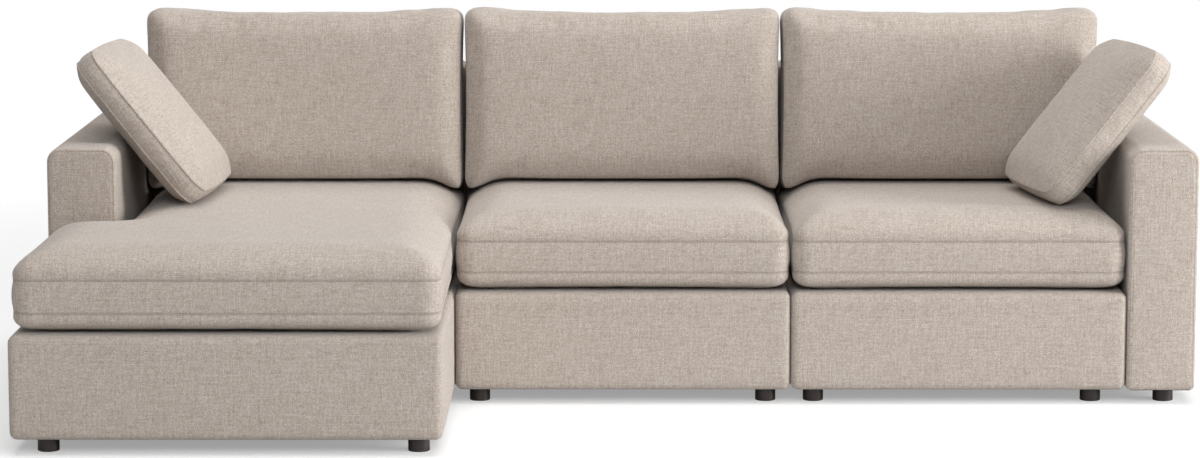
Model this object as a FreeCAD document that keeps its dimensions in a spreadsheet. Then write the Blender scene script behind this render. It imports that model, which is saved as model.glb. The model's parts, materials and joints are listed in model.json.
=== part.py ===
import FreeCAD, Part
import Sketcher
import math
import os

# Sectional sofa with chaise. X runs along the sofa, Y from front to back, Z up.
# The origin is on the floor, under the middle of the whole sofa.

V = FreeCAD.Vector
PARTS = "parts"

# Driving dimensions in millimetres
SIZES = {
    # Modules
    "seat_wide": 838,
    "seat_deep": 815,
    "back_thick": 150,
    "arm_thick": 172,
    "chaise_ahead": 650,
    "base_low": 35,
    "base_high": 247,
    "arm_high": 609,
    "back_high": 744,
    # Upholstery
    "cloth": 2,
    "pad": 17,
    "deck_pad": 25,
    "base_round": 18,
    "back_round": 18,
    "arm_round": 35,
    "arm_low_round": 12,
    "arm_end_round": 7,
    "board": 5,
    # Timber
    "rail_thick": 22,
    "post_thick": 40,
    "low_rail_high": 45,
    "bolt_rail_low": 65,
    "bolt_rail_high": 60,
    "block_side": 90,
    # Springs and webbing
    "wire_radius": 1.9,
    "spring_half_wide": 27,
    "spring_pitch": 36,
    "spring_margin": 110,
    "springs_each": 5,
    "spring_tail": 10,
    "clip_long": 14,
    "clip_wide": 14,
    "clip_wall": 1.4,
    "clip_gap": 0.2,
    "deck_gap": 0.3,
    "strap_wide": 50,
    "strap_thick": 2,
    "straps_each": 4,
    # Feet and fasteners
    "foot_radius": 25.5,
    "foot_bevel": 1.5,
    "foot_side": 60,
    "foot_front": 70,
    "chaise_foot_side": 83,
    "arm_neighbour_foot_side": 81,
    "arm_foot_side": 70,
    "back_foot_side": 100,
    "stud_radius": 4,
    "stud_in_foot": 22,
    "nut_radius": 5,
    "nut_deep": 9,
    "nut_flange": 11,
    "nut_plate": 1.5,
    "hole_gap": 0.1,
    "bolt_radius": 4,
    "bolt_height": 95,
    "bolt_end": 90,
    "bolt_head_radius": 7.5,
    "bolt_head_high": 5.3,
    "insert_radius": 6,
    "insert_long": 20,
    "plate_long": 90,
    "plate_wide": 40,
    "plate_thick": 3,
    "plate_from_edge": 120,
    "screw_radius": 2,
    "screw_head_radius": 4,
    "screw_head_high": 2,
    "screw_long": 18,
    "screw_from_joint": 30,
    "screw_half_gap": 10,
    # Seat cushions
    "soft_gap": 0.3,
    "seam_low": 47,
    "seam_high": 125,
    "seat_crown": 77,
    "seat_roll": 45,
    "seat_reach": 135,
    "seat_corner": 42,
    "inner_corner": 8,
    "band_bulge": 3,
    "side_draw": 4,
    "seat_front_inset": 4,
    "chaise_edge_inset": 6,
    "arm_front_gap": 4,
    # Back cushions
    "back_cushion_high": 460,
    "back_band": 135,
    "back_crown": 52,
    "back_reach": 120,
    "back_corner": 40,
    "back_draw": 7,
    "back_tilt": 4,
    # Pillows
    "pillow_side": 470,
    "pillow_band": 48,
    "pillow_crown": 52,
    "pillow_reach": 150,
    "pillow_corner": 40,
    "pillow_draw": 9,
    "pillow_lean": 51,
    "left_pillow_turn": 4,
    "right_pillow_turn": 9,
    # Zips
    "zip_wide": 7,
    "zip_share": 0.7,
    "zip_depth": 20,
}

doc = FreeCAD.newDocument("sectional_sofa")
sheet = doc.addObject("Spreadsheet::Sheet", "Sizes")
for row, (alias, millimetres) in enumerate(SIZES.items(), start=1):
    sheet.set("A%d" % row, alias)
    sheet.set("B%d" % row, str(millimetres))
    sheet.setAlias("B%d" % row, alias)
doc.recompute()


class Size:
    """A number from the sheet together with the expression that gives it."""

    def __init__(self, value, text):
        self.value = value
        self.text = text

    def __add__(self, other):
        other = as_size(other)
        return Size(self.value + other.value, "(%s + %s)" % (self.text, other.text))

    def __sub__(self, other):
        other = as_size(other)
        return Size(self.value - other.value, "(%s - %s)" % (self.text, other.text))

    def __mul__(self, factor):
        factor = as_size(factor)
        return Size(self.value * factor.value, "(%s * %s)" % (self.text, factor.text))

    def __truediv__(self, divisor):
        return Size(self.value / divisor, "(%s / %s)" % (self.text, divisor))

    def __neg__(self):
        return Size(-self.value, "(0 - %s)" % self.text)

    __rmul__ = __mul__


def as_size(length):
    return length if isinstance(length, Size) else Size(float(length), "%r" % float(length))


def size(alias):
    return Size(float(sheet.get(alias)), "Sizes." + alias)


def number(alias):
    return float(sheet.get(alias))


cloth, pad, deck_pad, board = size("cloth"), size("pad"), size("deck_pad"), size("board")
rail, post = size("rail_thick"), size("post_thick")
base_low = size("base_low")
base_top = base_low + size("base_high")
arm_top = base_low + size("arm_high")
back_top = base_low + size("back_high")
skin = cloth + pad
clip_bore = size("wire_radius") + size("clip_gap")
clip_high = (clip_bore + size("clip_wall")) * 2

# Module edges along X and Y
half_seats = size("seat_wide") * 1.5
ARM_OUT_L = -half_seats - size("arm_thick")
SEAT_X = [-half_seats, -half_seats + size("seat_wide"), half_seats - size("seat_wide"), half_seats]
ARM_OUT_R = half_seats + size("arm_thick")
FRONT = -(size("chaise_ahead") + size("seat_deep") + size("back_thick")) / 2
SEAT_FRONT = FRONT + size("chaise_ahead")
BACK_FRONT = SEAT_FRONT + size("seat_deep")
REAR = BACK_FRONT + size("back_thick")

nodes = []


def keep(feature, name):
    """Mark a feature as the sub-part of that name."""
    feature.Label = name
    nodes.append(feature)
    return feature


def bind(feature, **sizes):
    for prop, length in sizes.items():
        feature.setExpression(prop, as_size(length).text)


def bind_place(feature, point):
    for axis, length in zip("xyz", point):
        feature.setExpression("Placement.Base." + axis, as_size(length).text)


def box(name, low, high):
    feature = doc.addObject("Part::Box", name)
    bind(feature, Length=high[0] - low[0], Width=high[1] - low[1], Height=high[2] - low[2])
    bind_place(feature, low)
    return feature


TURNS = {
    "+Z": FreeCAD.Rotation(),
    "+X": FreeCAD.Rotation(V(0, 1, 0), 90),
    "-X": FreeCAD.Rotation(V(0, 1, 0), -90),
    "+Y": FreeCAD.Rotation(V(1, 0, 0), -90),
    "across_x": FreeCAD.Rotation(),
    "across_y": FreeCAD.Rotation(V(0, 0, 1), 90),
}


def rod(name, radius, length, start, axis):
    """A round bar or bore from a point along an axis."""
    feature = doc.addObject("Part::Cylinder", name)
    bind(feature, Radius=radius, Height=length)
    feature.Placement = FreeCAD.Placement(V(), TURNS[axis])
    bind_place(feature, start)
    return feature


def group(name, features):
    feature = doc.addObject("Part::Compound", name)
    feature.Links = features
    return feature


def cut(name, base, tool):
    feature = doc.addObject("Part::Cut", name)
    feature.Base = base
    feature.Tool = tool
    return feature


def common(name, base, tool):
    feature = doc.addObject("Part::Common", name)
    feature.Base = base
    feature.Tool = tool
    return feature


def plane_of(body, role):
    return [f for f in body.Origin.OriginFeatures if f.Role == role][0]


def sketch_on(body, name, role, offset=None):
    sketch = body.newObject("Sketcher::SketchObject", name)
    sketch.AttachmentSupport = (plane_of(body, role), [""])
    sketch.MapMode = "FlatFace"
    if offset is not None:
        sketch.setExpression("AttachmentOffset.Base.z", as_size(offset).text)
    return sketch


def pad_of(body, name, sketch, length):
    feature = body.newObject("PartDesign::Pad", name)
    feature.Profile = sketch
    bind(feature, Length=length)
    return feature


def rectangle(sketch, low, high):
    """A rectangle whose four sides are held at bound distances from the sketch's origin."""
    corners = [(low[0], low[1]), (high[0], low[1]), (high[0], high[1]), (low[0], high[1])]
    for i in range(4):
        start, end = corners[i], corners[(i + 1) % 4]
        line = Part.LineSegment(
            V(start[0].value, start[1].value, 0), V(end[0].value, end[1].value, 0)
        )
        sketch.addGeometry(line, False)
    for i in range(4):
        sketch.addConstraint(Sketcher.Constraint("Coincident", i, 2, (i + 1) % 4, 1))
    for i in (0, 2):
        sketch.addConstraint(Sketcher.Constraint("Horizontal", i))
    for i in (1, 3):
        sketch.addConstraint(Sketcher.Constraint("Vertical", i))
    for kind, vertex, length in (
        ("DistanceX", 0, low[0]),
        ("DistanceY", 0, low[1]),
        ("DistanceX", 2, high[0]),
        ("DistanceY", 2, high[1]),
    ):
        place = sketch.addConstraint(
            Sketcher.Constraint(kind, -1, 1, vertex, 1, length.value)
        )
        sketch.setExpression("Constraints[%d]" % place, length.text)


def circle(sketch, radius, centre=None):
    x, y = centre if centre else (as_size(0), as_size(0))
    ring = sketch.addGeometry(Part.Circle(V(x.value, y.value, 0), V(0, 0, 1), radius.value), False)
    place = sketch.addConstraint(Sketcher.Constraint("Radius", ring, radius.value))
    sketch.setExpression("Constraints[%d]" % place, radius.text)
    if centre:
        for kind, length in (("DistanceX", x), ("DistanceY", y)):
            place = sketch.addConstraint(Sketcher.Constraint(kind, -1, 1, ring, 3, length.value))
            sketch.setExpression("Constraints[%d]" % place, length.text)
    else:
        sketch.addConstraint(Sketcher.Constraint("Coincident", ring, 3, -1, 1))


def edges_where(feature, test):
    names = []
    for i, edge in enumerate(feature.Shape.Edges, start=1):
        if test(edge):
            names.append("Edge%d" % i)
    return names


def soften(body, feature, name, radius, test):
    doc.recompute([feature], True)
    fillet = body.newObject("PartDesign::Fillet", name)
    fillet.Base = (feature, edges_where(feature, test))
    bind(fillet, Radius=radius)
    return fillet


def lies_along_y(edge):
    return abs(edge.tangentAt(edge.FirstParameter).y) > 0.999


def at_height(z):
    return lambda edge: lies_along_y(edge) and abs(edge.BoundBox.ZMin - z) < 0.01


def in_end_planes(y_low, y_high):
    def test(edge):
        box_of = edge.BoundBox
        flat = box_of.YLength < 0.01
        return flat and min(abs(box_of.YMin - y_low), abs(box_of.YMin - y_high)) < 0.01

    return test


def block_form(name, low, high, rounds):
    """A solid block with softened edges; rounds is a list of (radius, edge test)."""
    body = doc.addObject("PartDesign::Body", name + "_form")
    sketch = sketch_on(body, name + "_plan", "XY_Plane", low[2])
    rectangle(sketch, low, high)
    feature = pad_of(body, name + "_pad", sketch, high[2] - low[2])
    for i, (radius, test) in enumerate(rounds):
        feature = soften(body, feature, "%s_round_%d" % (name, i), radius, test)
    return body


def shrunk(low, high, wall):
    inner_low = [edge + wall for edge in low]
    inner_high = [edge - wall for edge in high]
    return inner_low, inner_high


dust_covers = []


def upholstery(name, low, high, rounds, top_pad, insets, bores):
    """Cloth cover and dust cover of one box of the sofa; returns its five foam boards."""
    outer_rounds = [(radius, test(low, high)) for radius, test in rounds]
    outer = block_form(name + "_cover", low, high, outer_rounds)
    in_low, in_high = shrunk(low, high, cloth)
    inner_rounds = [(radius - cloth, test(in_low, in_high)) for radius, test in rounds]
    inner = block_form(name + "_inner", in_low, in_high, inner_rounds)
    # The underside is open, and a thin dust sheet closes it flush with the cover
    side_inset, end_inset = insets
    sheet_low = (low[0] + side_inset, low[1] + end_inset, low[2])
    sheet_high = (high[0] - side_inset, high[1] - end_inset, low[2] + cloth)
    dust_sheet = box(name + "_dust_sheet", sheet_low, sheet_high)
    dust_covers.append(cut(name + "_dust_cover", dust_sheet, bores))
    shell = cut(name + "_cover_shell", outer, inner)
    open_shell = cut(name + "_cover_open", shell, dust_sheet)
    under = in_high[2] - top_pad
    x0, y0, z0 = in_low
    x1, y1, z1 = in_high
    boards = {
        "top": ((x0, y0, under), (x1, y1, z1)),
        "front": ((x0, y0, z0), (x1, y0 + pad, under)),
        "rear": ((x0, y1 - pad, z0), (x1, y1, under)),
        "left": ((x0, y0 + pad, z0), (x0 + pad, y1 - pad, under)),
        "right": ((x1 - pad, y0 + pad, z0), (x1, y1 - pad, under)),
    }
    cut_boards = []
    for side, (board_low, board_high) in boards.items():
        plain = box("%s_%s_block" % (name, side), board_low, board_high)
        cut_boards.append(common("%s_%s_board" % (name, side), plain, inner))
    keep(cut(name + "_cover_bored", open_shell, bores), name + "_cover")
    return cut(name + "_padding", group(name + "_boards", cut_boards), bores)


def every_edge(low, high):
    return lambda edge: True


def top_long_edges(low, high):
    return at_height(high[2].value)


def low_long_edges(low, high):
    return at_height(low[2].value)


def end_edges(low, high):
    return in_end_planes(low[1].value, high[1].value)


base_round, back_round = size("base_round"), size("back_round")
BASE_ROUNDS = [(base_round, every_edge)]
BACK_ROUNDS = [(back_round, every_edge)]
ARM_ROUNDS = [
    (size("arm_round"), top_long_edges),
    (size("arm_low_round"), low_long_edges),
    (size("arm_end_round"), end_edges),
]

# Where each foot stands, where each bolt and each connector screw runs
side, ahead = size("foot_side"), size("foot_front")
FEET = {
    "chaise": [
        (ARM_OUT_L + size("chaise_foot_side"), FRONT + ahead),
        (SEAT_X[1] - side, FRONT + ahead),
        (ARM_OUT_L + size("chaise_foot_side"), SEAT_FRONT - ahead),
        (SEAT_X[1] - side, SEAT_FRONT - ahead),
    ],
    "left_seat": [(SEAT_X[0] + side, SEAT_FRONT + ahead), (SEAT_X[1] - side, SEAT_FRONT + ahead)],
    "middle_seat": [(SEAT_X[1] + side, SEAT_FRONT + ahead), (SEAT_X[2] - side, SEAT_FRONT + ahead)],
    "right_seat": [
        (SEAT_X[2] + side, SEAT_FRONT + ahead),
        (SEAT_X[3] - size("arm_neighbour_foot_side"), SEAT_FRONT + ahead),
    ],
}
mid_back_y = BACK_FRONT + size("back_thick") / 2
for name, x0, x1 in (
    ("left_back", SEAT_X[0], SEAT_X[1]),
    ("middle_back", SEAT_X[1], SEAT_X[2]),
    ("right_back", SEAT_X[2], SEAT_X[3]),
):
    back_side = size("back_foot_side")
    FEET[name] = [(x0 + back_side, mid_back_y), (x1 - back_side, mid_back_y)]
FEET["left_arm"] = [
    (ARM_OUT_L + size("arm_foot_side"), SEAT_FRONT + ahead),
    (ARM_OUT_L + size("arm_foot_side"), REAR - ahead),
]
FEET["right_arm"] = [
    (ARM_OUT_R - size("arm_foot_side"), SEAT_FRONT + ahead),
    (ARM_OUT_R - size("arm_foot_side"), REAR - ahead),
]

bolt_z = base_low + size("bolt_height")
bolt_start = skin + rail
BOLTS = {}
for seat, back, x0, x1 in (
    ("left_seat", "left_back", SEAT_X[0], SEAT_X[1]),
    ("middle_seat", "middle_back", SEAT_X[1], SEAT_X[2]),
    ("right_seat", "right_back", SEAT_X[2], SEAT_X[3]),
):
    quarter = (x1 - x0) / 4
    for x in (x0 + quarter, x1 - quarter):
        bolt = ((x, BACK_FRONT - bolt_start, bolt_z), "+Y")
        BOLTS.setdefault(seat, []).append(bolt)
        BOLTS.setdefault(back, []).append(bolt)
quarter = size("seat_deep") / 4
for y in (SEAT_FRONT + quarter, BACK_FRONT - quarter):
    for seat, arm, x, axis in (
        ("left_seat", "left_arm", SEAT_X[0] + bolt_start, "-X"),
        ("right_seat", "right_arm", SEAT_X[3] - bolt_start, "+X"),
    ):
        bolt = ((x, y, bolt_z), axis)
        BOLTS.setdefault(seat, []).append(bolt)
        BOLTS.setdefault(arm, []).append(bolt)

edge = size("plate_from_edge")
PLATES = []
for x in SEAT_X[1:3]:
    PLATES += [(x, SEAT_FRONT + edge, "across_x"), (x, BACK_FRONT - edge, "across_x")]
for x in (SEAT_X[0] + edge, SEAT_X[1] - edge):
    PLATES.append((x, SEAT_FRONT, "across_y"))

from_joint, half_gap = size("screw_from_joint"), size("screw_half_gap")
SCREWS = []
for x, y, way in PLATES:
    for along in (-from_joint, from_joint):
        for aside in (-half_gap, half_gap):
            step = (along, aside) if way == "across_x" else (aside, along)
            SCREWS.append((x + step[0], y + step[1]))


def bores_for(name):
    """Every bore that the fasteners need in one module."""
    gap = size("hole_gap")
    tools = []
    for i, (x, y) in enumerate(FEET[name]):
        foot_bore = size("stud_radius") + gap
        up = size("low_rail_high") + cloth
        tools.append(rod("%s_stud_bore_%d" % (name, i), foot_bore, up, (x, y, base_low), "+Z"))
        seat_of_nut = base_low + up - size("nut_deep")
        nut_bore = size("nut_radius") + gap
        place = (x, y, seat_of_nut)
        tools.append(rod("%s_nut_bore_%d" % (name, i), nut_bore, size("nut_deep"), place, "+Z"))
    for i, (start, axis) in enumerate(BOLTS.get(name, [])):
        bolt_bore = size("bolt_radius") + gap
        tools.append(rod("%s_bolt_bore_%d" % (name, i), bolt_bore, size("bolt_end"), start, axis))
        if not name.endswith("seat"):
            offset = as_size(size("bolt_end") - size("insert_long"))
            place = moved(start, axis, offset)
            radius = size("insert_radius") + gap
            tools.append(
                rod("%s_insert_bore_%d" % (name, i), radius, size("insert_long"), place, axis)
            )
    if name.endswith("seat") or name == "chaise":
        for i, (x, y) in enumerate(SCREWS):
            place = (x, y, base_low)
            radius = size("screw_radius") + gap
            tools.append(rod("%s_screw_bore_%d" % (name, i), radius, size("screw_long"), place, "+Z"))
    bores = doc.addObject("Part::MultiFuse", name + "_bores")
    bores.Shapes = tools
    return bores


def moved(start, axis, length):
    step = {"X": 0, "Y": 1, "Z": 2}[axis[1]]
    point = list(start)
    point[step] = point[step] + length if axis[0] == "+" else point[step] - length
    return tuple(point)


base_padding = []
blocks = []
spring_fields = []


def seat_base(name, low, high):
    """A seat or chaise base: timber rails, corner blocks, cloth and foam."""
    bores = bores_for(name)
    insets = (base_round, base_round)
    foam = upholstery(name + "_base", low, high, BASE_ROUNDS, deck_pad, insets, bores)
    base_padding.append(foam)
    x0, y0 = low[0] + skin, low[1] + skin
    x1, y1 = high[0] - skin, high[1] - skin
    z0 = low[2] + cloth
    z1 = high[2] - cloth - deck_pad - size("deck_gap") - clip_high
    rails = [
        box(name + "_front_rail", (x0, y0, z0), (x1, y0 + rail, z1)),
        box(name + "_rear_rail", (x0, y1 - rail, z0), (x1, y1, z1)),
        box(name + "_left_rail", (x0, y0 + rail, z0), (x0 + rail, y1 - rail, z1)),
        box(name + "_right_rail", (x1 - rail, y0 + rail, z0), (x1, y1 - rail, z1)),
    ]
    keep(cut(name + "_rails_bored", group(name + "_rail_set", rails), bores), name + "_rails")
    wide, tall = size("block_side"), size("low_rail_high")
    ix0, iy0, ix1, iy1 = x0 + rail, y0 + rail, x1 - rail, y1 - rail
    corners = []
    for i, (x, y) in enumerate(
        ((ix0, iy0), (ix1 - wide, iy0), (ix0, iy1 - wide), (ix1 - wide, iy1 - wide))
    ):
        block = box("%s_block_%d" % (name, i), (x, y, z0), (x + wide, y + wide, z0 + tall))
        corners.append(block)
    blocks.append(cut(name + "_blocks", group(name + "_block_set", corners), bores))
    spring_fields.append((x0, x1, y0, y1, z1))


def posts_and_rails(name, x0, x1, y0, y1, z0, z1, along, bores):
    """Two posts with a low rail, a bolt rail and a top rail between them."""
    low_top = z0 + size("low_rail_high")
    bolt_low = z0 + size("bolt_rail_low")
    levels = {
        "low_rail": (z0, low_top),
        "bolt_rail": (bolt_low, bolt_low + size("bolt_rail_high")),
        "top_rail": (z1 - rail, z1),
    }
    pieces = []
    if along == "X":
        pieces.append(box(name + "_post_1", (x0, y0, low_top), (x0 + post, y1, z1 - rail)))
        pieces.append(box(name + "_post_2", (x1 - post, y0, low_top), (x1, y1, z1 - rail)))
        inner = (x0 + post, x1 - post, y0, y1)
    else:
        pieces.append(box(name + "_post_1", (x0, y0, low_top), (x1, y0 + post, z1 - rail)))
        pieces.append(box(name + "_post_2", (x0, y1 - post, low_top), (x1, y1, z1 - rail)))
        inner = (x0, x1, y0 + post, y1 - post)
    for level, (bottom, top) in levels.items():
        plan = inner if level == "bolt_rail" else (x0, x1, y0, y1)
        low = (plan[0], plan[2], bottom)
        high = (plan[1], plan[3], top)
        pieces.append(box("%s_%s" % (name, level), low, high))
    return cut(name + "_timber", group(name + "_timber_set", pieces), bores)


arm_padding = []
arm_boards = []


def arm(name, x0, x1):
    low, high = (x0, SEAT_FRONT, base_low), (x1, REAR, arm_top)
    bores = bores_for(name)
    insets = (size("arm_low_round"), size("arm_end_round"))
    arm_padding.append(upholstery(name, low, high, ARM_ROUNDS, pad, insets, bores))
    in_x0, in_x1 = x0 + skin, x1 - skin
    in_y0, in_y1 = SEAT_FRONT + skin, REAR - skin
    z0, z1 = base_low + cloth, arm_top - skin
    sides = [
        box(name + "_board_1", (in_x0, in_y0, z0), (in_x0 + board, in_y1, z1)),
        box(name + "_board_2", (in_x1 - board, in_y0, z0), (in_x1, in_y1, z1)),
    ]
    arm_boards.append(cut(name + "_side_boards", group(name + "_side_board_set", sides), bores))
    x0, x1 = in_x0 + board, in_x1 - board
    keep(posts_and_rails(name, x0, x1, in_y0, in_y1, z0, z1, "Y", bores), name + "_frame")


back_padding = []
back_frames = []
straps = []


def back(name, x0, x1):
    low, high = (x0, BACK_FRONT, base_low), (x1, REAR, back_top)
    bores = bores_for(name)
    insets = (back_round, back_round)
    back_padding.append(upholstery(name, low, high, BACK_ROUNDS, pad, insets, bores))
    in_x0, in_x1 = x0 + skin, x1 - skin
    strap = size("strap_thick")
    y0, y1 = BACK_FRONT + skin + strap, REAR - skin
    z0, z1 = base_low + cloth, back_top - skin
    back_frames.append(posts_and_rails(name, in_x0, in_x1, y0, y1, z0, z1, "X", bores))
    room = (z1 - base_top) / number("straps_each")
    for i in range(int(number("straps_each"))):
        bottom = base_top + room * i + (room - size("strap_wide")) / 2
        low_corner = (in_x0, y0 - strap, bottom)
        high_corner = (in_x1, y0, bottom + size("strap_wide"))
        straps.append(box("%s_strap_%d" % (name, i), low_corner, high_corner))


seat_base("chaise", (ARM_OUT_L, FRONT, base_low), (SEAT_X[1], SEAT_FRONT, base_top))
for name, x0, x1 in (
    ("left_seat", SEAT_X[0], SEAT_X[1]),
    ("middle_seat", SEAT_X[1], SEAT_X[2]),
    ("right_seat", SEAT_X[2], SEAT_X[3]),
):
    seat_base(name, (x0, SEAT_FRONT, base_low), (x1, BACK_FRONT, base_top))
arm("left_arm", ARM_OUT_L, SEAT_X[0])
arm("right_arm", SEAT_X[3], ARM_OUT_R)
back("left_back", SEAT_X[0], SEAT_X[1])
back("middle_back", SEAT_X[1], SEAT_X[2])
back("right_back", SEAT_X[2], SEAT_X[3])
keep(base_padding[0], "chaise_base_padding")
keep(group("seat_padding_set", base_padding[1:]), "seat_base_padding")
keep(group("arm_padding_set", arm_padding), "arm_padding")
keep(group("back_padding_set", back_padding), "back_padding")
keep(group("back_frame_set", back_frames), "back_frames")
keep(group("dust_cover_set", dust_covers), "dust_covers")
keep(group("corner_block_set", blocks), "corner_blocks")
keep(group("arm_board_set", arm_boards), "arm_boards")
keep(group("strap_set", straps), "back_webbing")


# Fasteners and feet: one master body each, copied to every place

def foot_master():
    body = doc.addObject("PartDesign::Body", "foot_master")
    sketch = sketch_on(body, "foot_circle", "XY_Plane")
    circle(sketch, size("foot_radius"))
    feature = pad_of(body, "foot_pad", sketch, base_low)
    bore = sketch_on(body, "foot_bore_circle", "XY_Plane", base_low)
    circle(bore, size("stud_radius") + size("hole_gap"))
    pocket = body.newObject("PartDesign::Pocket", "foot_bore")
    pocket.Profile = bore
    bind(pocket, Length=size("stud_in_foot"))
    doc.recompute()
    bevel = body.newObject("PartDesign::Chamfer", "foot_bevel")
    radius = number("foot_radius")

    def is_rim(edge):
        return edge.Curve.TypeId == "Part::GeomCircle" and edge.Curve.Radius == radius

    bevel.Base = (pocket, edges_where(pocket, is_rim))
    bind(bevel, Size=size("foot_bevel"))
    return body


def turned_master(name, profile):
    """A round piece turned about Z from a closed profile of (radius, height) points."""
    body = doc.addObject("PartDesign::Body", name)
    sketch = sketch_on(body, name + "_profile", "XZ_Plane")
    for i, (r, z) in enumerate(profile):
        next_r, next_z = profile[(i + 1) % len(profile)]
        start, end = V(r.value, z.value, 0), V(next_r.value, next_z.value, 0)
        sketch.addGeometry(Part.LineSegment(start, end), False)
    count = len(profile)
    for i, (r, z) in enumerate(profile):
        sketch.addConstraint(Sketcher.Constraint("Coincident", i, 2, (i + 1) % count, 1))
        for kind, length in (("DistanceX", r), ("DistanceY", z)):
            place = sketch.addConstraint(Sketcher.Constraint(kind, -1, 1, i, 1, length.value))
            sketch.setExpression("Constraints[%d]" % place, length.text)
    turn = body.newObject("PartDesign::Revolution", name + "_turn")
    turn.Profile = sketch
    turn.ReferenceAxis = (sketch, ["V_Axis"])
    turn.Angle = 360
    return body


def copies(name, master, places):
    """One node of separate copies of a master, each at a place and turned to an axis."""
    shapes = []
    for point, axis in places:
        shape = master.Shape.copy()
        target = V(*[as_size(p).value for p in point])
        shape.Placement = FreeCAD.Placement(target, TURNS[axis]).multiply(shape.Placement)
        shapes.append(shape)
    feature = doc.addObject("Part::Feature", name)
    feature.Shape = Part.makeCompound(shapes)
    feature.Placement = FreeCAD.Placement()
    return keep(feature, name)


zero = as_size(0)
stud_r, nut_r = size("stud_radius"), size("nut_radius")
stud_top = size("stud_in_foot") + cloth + size("low_rail_high") + size("nut_plate")
thread_r = stud_r + size("hole_gap")
stud = turned_master(
    "foot_stud_master", [(zero, zero), (stud_r, zero), (stud_r, stud_top), (zero, stud_top)]
)
deep, plate, flange = size("nut_deep"), size("nut_plate"), size("nut_flange")
tee_nut = turned_master(
    "tee_nut_master",
    [
        (thread_r, -deep),
        (nut_r, -deep),
        (nut_r, zero),
        (flange, zero),
        (flange, plate),
        (thread_r, plate),
    ],
)
insert_r, insert_long = size("insert_radius"), size("insert_long")
insert = turned_master(
    "insert_nut_master",
    [(thread_r, zero), (insert_r, zero), (insert_r, insert_long), (thread_r, insert_long)],
)
screw_r, head_r = size("screw_radius"), size("screw_head_radius")
head, long_ = size("screw_head_high"), size("screw_long")
screw = turned_master(
    "screw_master",
    [
        (zero, -head),
        (head_r, -head),
        (head_r, zero),
        (screw_r, zero),
        (screw_r, long_),
        (zero, long_),
    ],
)


def bolt_master():
    body = doc.addObject("PartDesign::Body", "bolt_master")
    sketch = sketch_on(body, "bolt_shank_circle", "XY_Plane")
    circle(sketch, size("bolt_radius"))
    pad_of(body, "bolt_shank", sketch, size("bolt_end"))
    head_sketch = sketch_on(body, "bolt_head_hexagon", "XY_Plane")
    reach = size("bolt_head_radius")
    points = []
    for i in range(6):
        turn = math.radians(60 * i)
        points.append(V(math.cos(turn), math.sin(turn), 0) * reach.value)
    for i in range(6):
        head_sketch.addGeometry(Part.LineSegment(points[i], points[(i + 1) % 6]), False)
    ring = head_sketch.addGeometry(Part.Circle(V(), V(0, 0, 1), reach.value), True)
    head_sketch.addConstraint(Sketcher.Constraint("Coincident", ring, 3, -1, 1))
    place = head_sketch.addConstraint(Sketcher.Constraint("Radius", ring, reach.value))
    head_sketch.setExpression("Constraints[%d]" % place, reach.text)
    for i in range(6):
        head_sketch.addConstraint(Sketcher.Constraint("Coincident", i, 2, (i + 1) % 6, 1))
        head_sketch.addConstraint(Sketcher.Constraint("PointOnObject", i, 1, ring))
    for i in range(5):
        head_sketch.addConstraint(Sketcher.Constraint("Equal", i, i + 1))
    head_sketch.addConstraint(Sketcher.Constraint("PointOnObject", 0, 1, -1))
    head_pad = pad_of(body, "bolt_head", head_sketch, size("bolt_head_high"))
    head_pad.Reversed = True
    return body


def plate_master():
    """Connector plate, long side across the joint of two modules, with four screw holes."""
    body = doc.addObject("PartDesign::Body", "connector_master")
    half_long, half_wide = size("plate_long") / 2, size("plate_wide") / 2
    sketch = sketch_on(body, "connector_outline", "XY_Plane")
    rectangle(sketch, (-half_long, -half_wide), (half_long, half_wide))
    feature = pad_of(body, "connector_pad", sketch, size("plate_thick"))
    feature.Reversed = True
    holes = sketch_on(body, "connector_holes", "XY_Plane")
    for x in (-from_joint, from_joint):
        for y in (-half_gap, half_gap):
            circle(holes, size("screw_radius") + size("hole_gap"), (x, y))
    pocket = body.newObject("PartDesign::Pocket", "connector_screw_holes")
    pocket.Profile = holes
    pocket.Type = "ThroughAll"
    return body


foot = foot_master()
bolt = bolt_master()
connector = plate_master()
doc.recompute()

all_feet = [place for name in FEET for place in FEET[name]]
copies("feet", foot, [((x, y, zero), "+Z") for x, y in all_feet])
stud_low = base_low - size("stud_in_foot")
copies("foot_studs", stud, [((x, y, stud_low), "+Z") for x, y in all_feet])
nut_seat = base_low + cloth + size("low_rail_high")
copies("tee_nuts", tee_nut, [((x, y, nut_seat), "+Z") for x, y in all_feet])
arm_bolts = BOLTS["left_arm"] + BOLTS["right_arm"]
back_bolts = BOLTS["left_back"] + BOLTS["middle_back"] + BOLTS["right_back"]
copies("arm_bolts", bolt, arm_bolts)
copies("back_bolts", bolt, back_bolts)
into_insert = size("bolt_end") - size("insert_long")
insert_places = [(moved(start, axis, into_insert), axis) for start, axis in arm_bolts + back_bolts]
copies("insert_nuts", insert, insert_places)
copies("module_connectors", connector, [((x, y, base_low), way) for x, y, way in PLATES])
screw_low = base_low - size("plate_thick")
copies("connector_screws", screw, [((x, y, screw_low), "+Z") for x, y in SCREWS])


# Springs: one zigzag of wire from the front rail to the rear rail, held by a clip at each end

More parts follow.
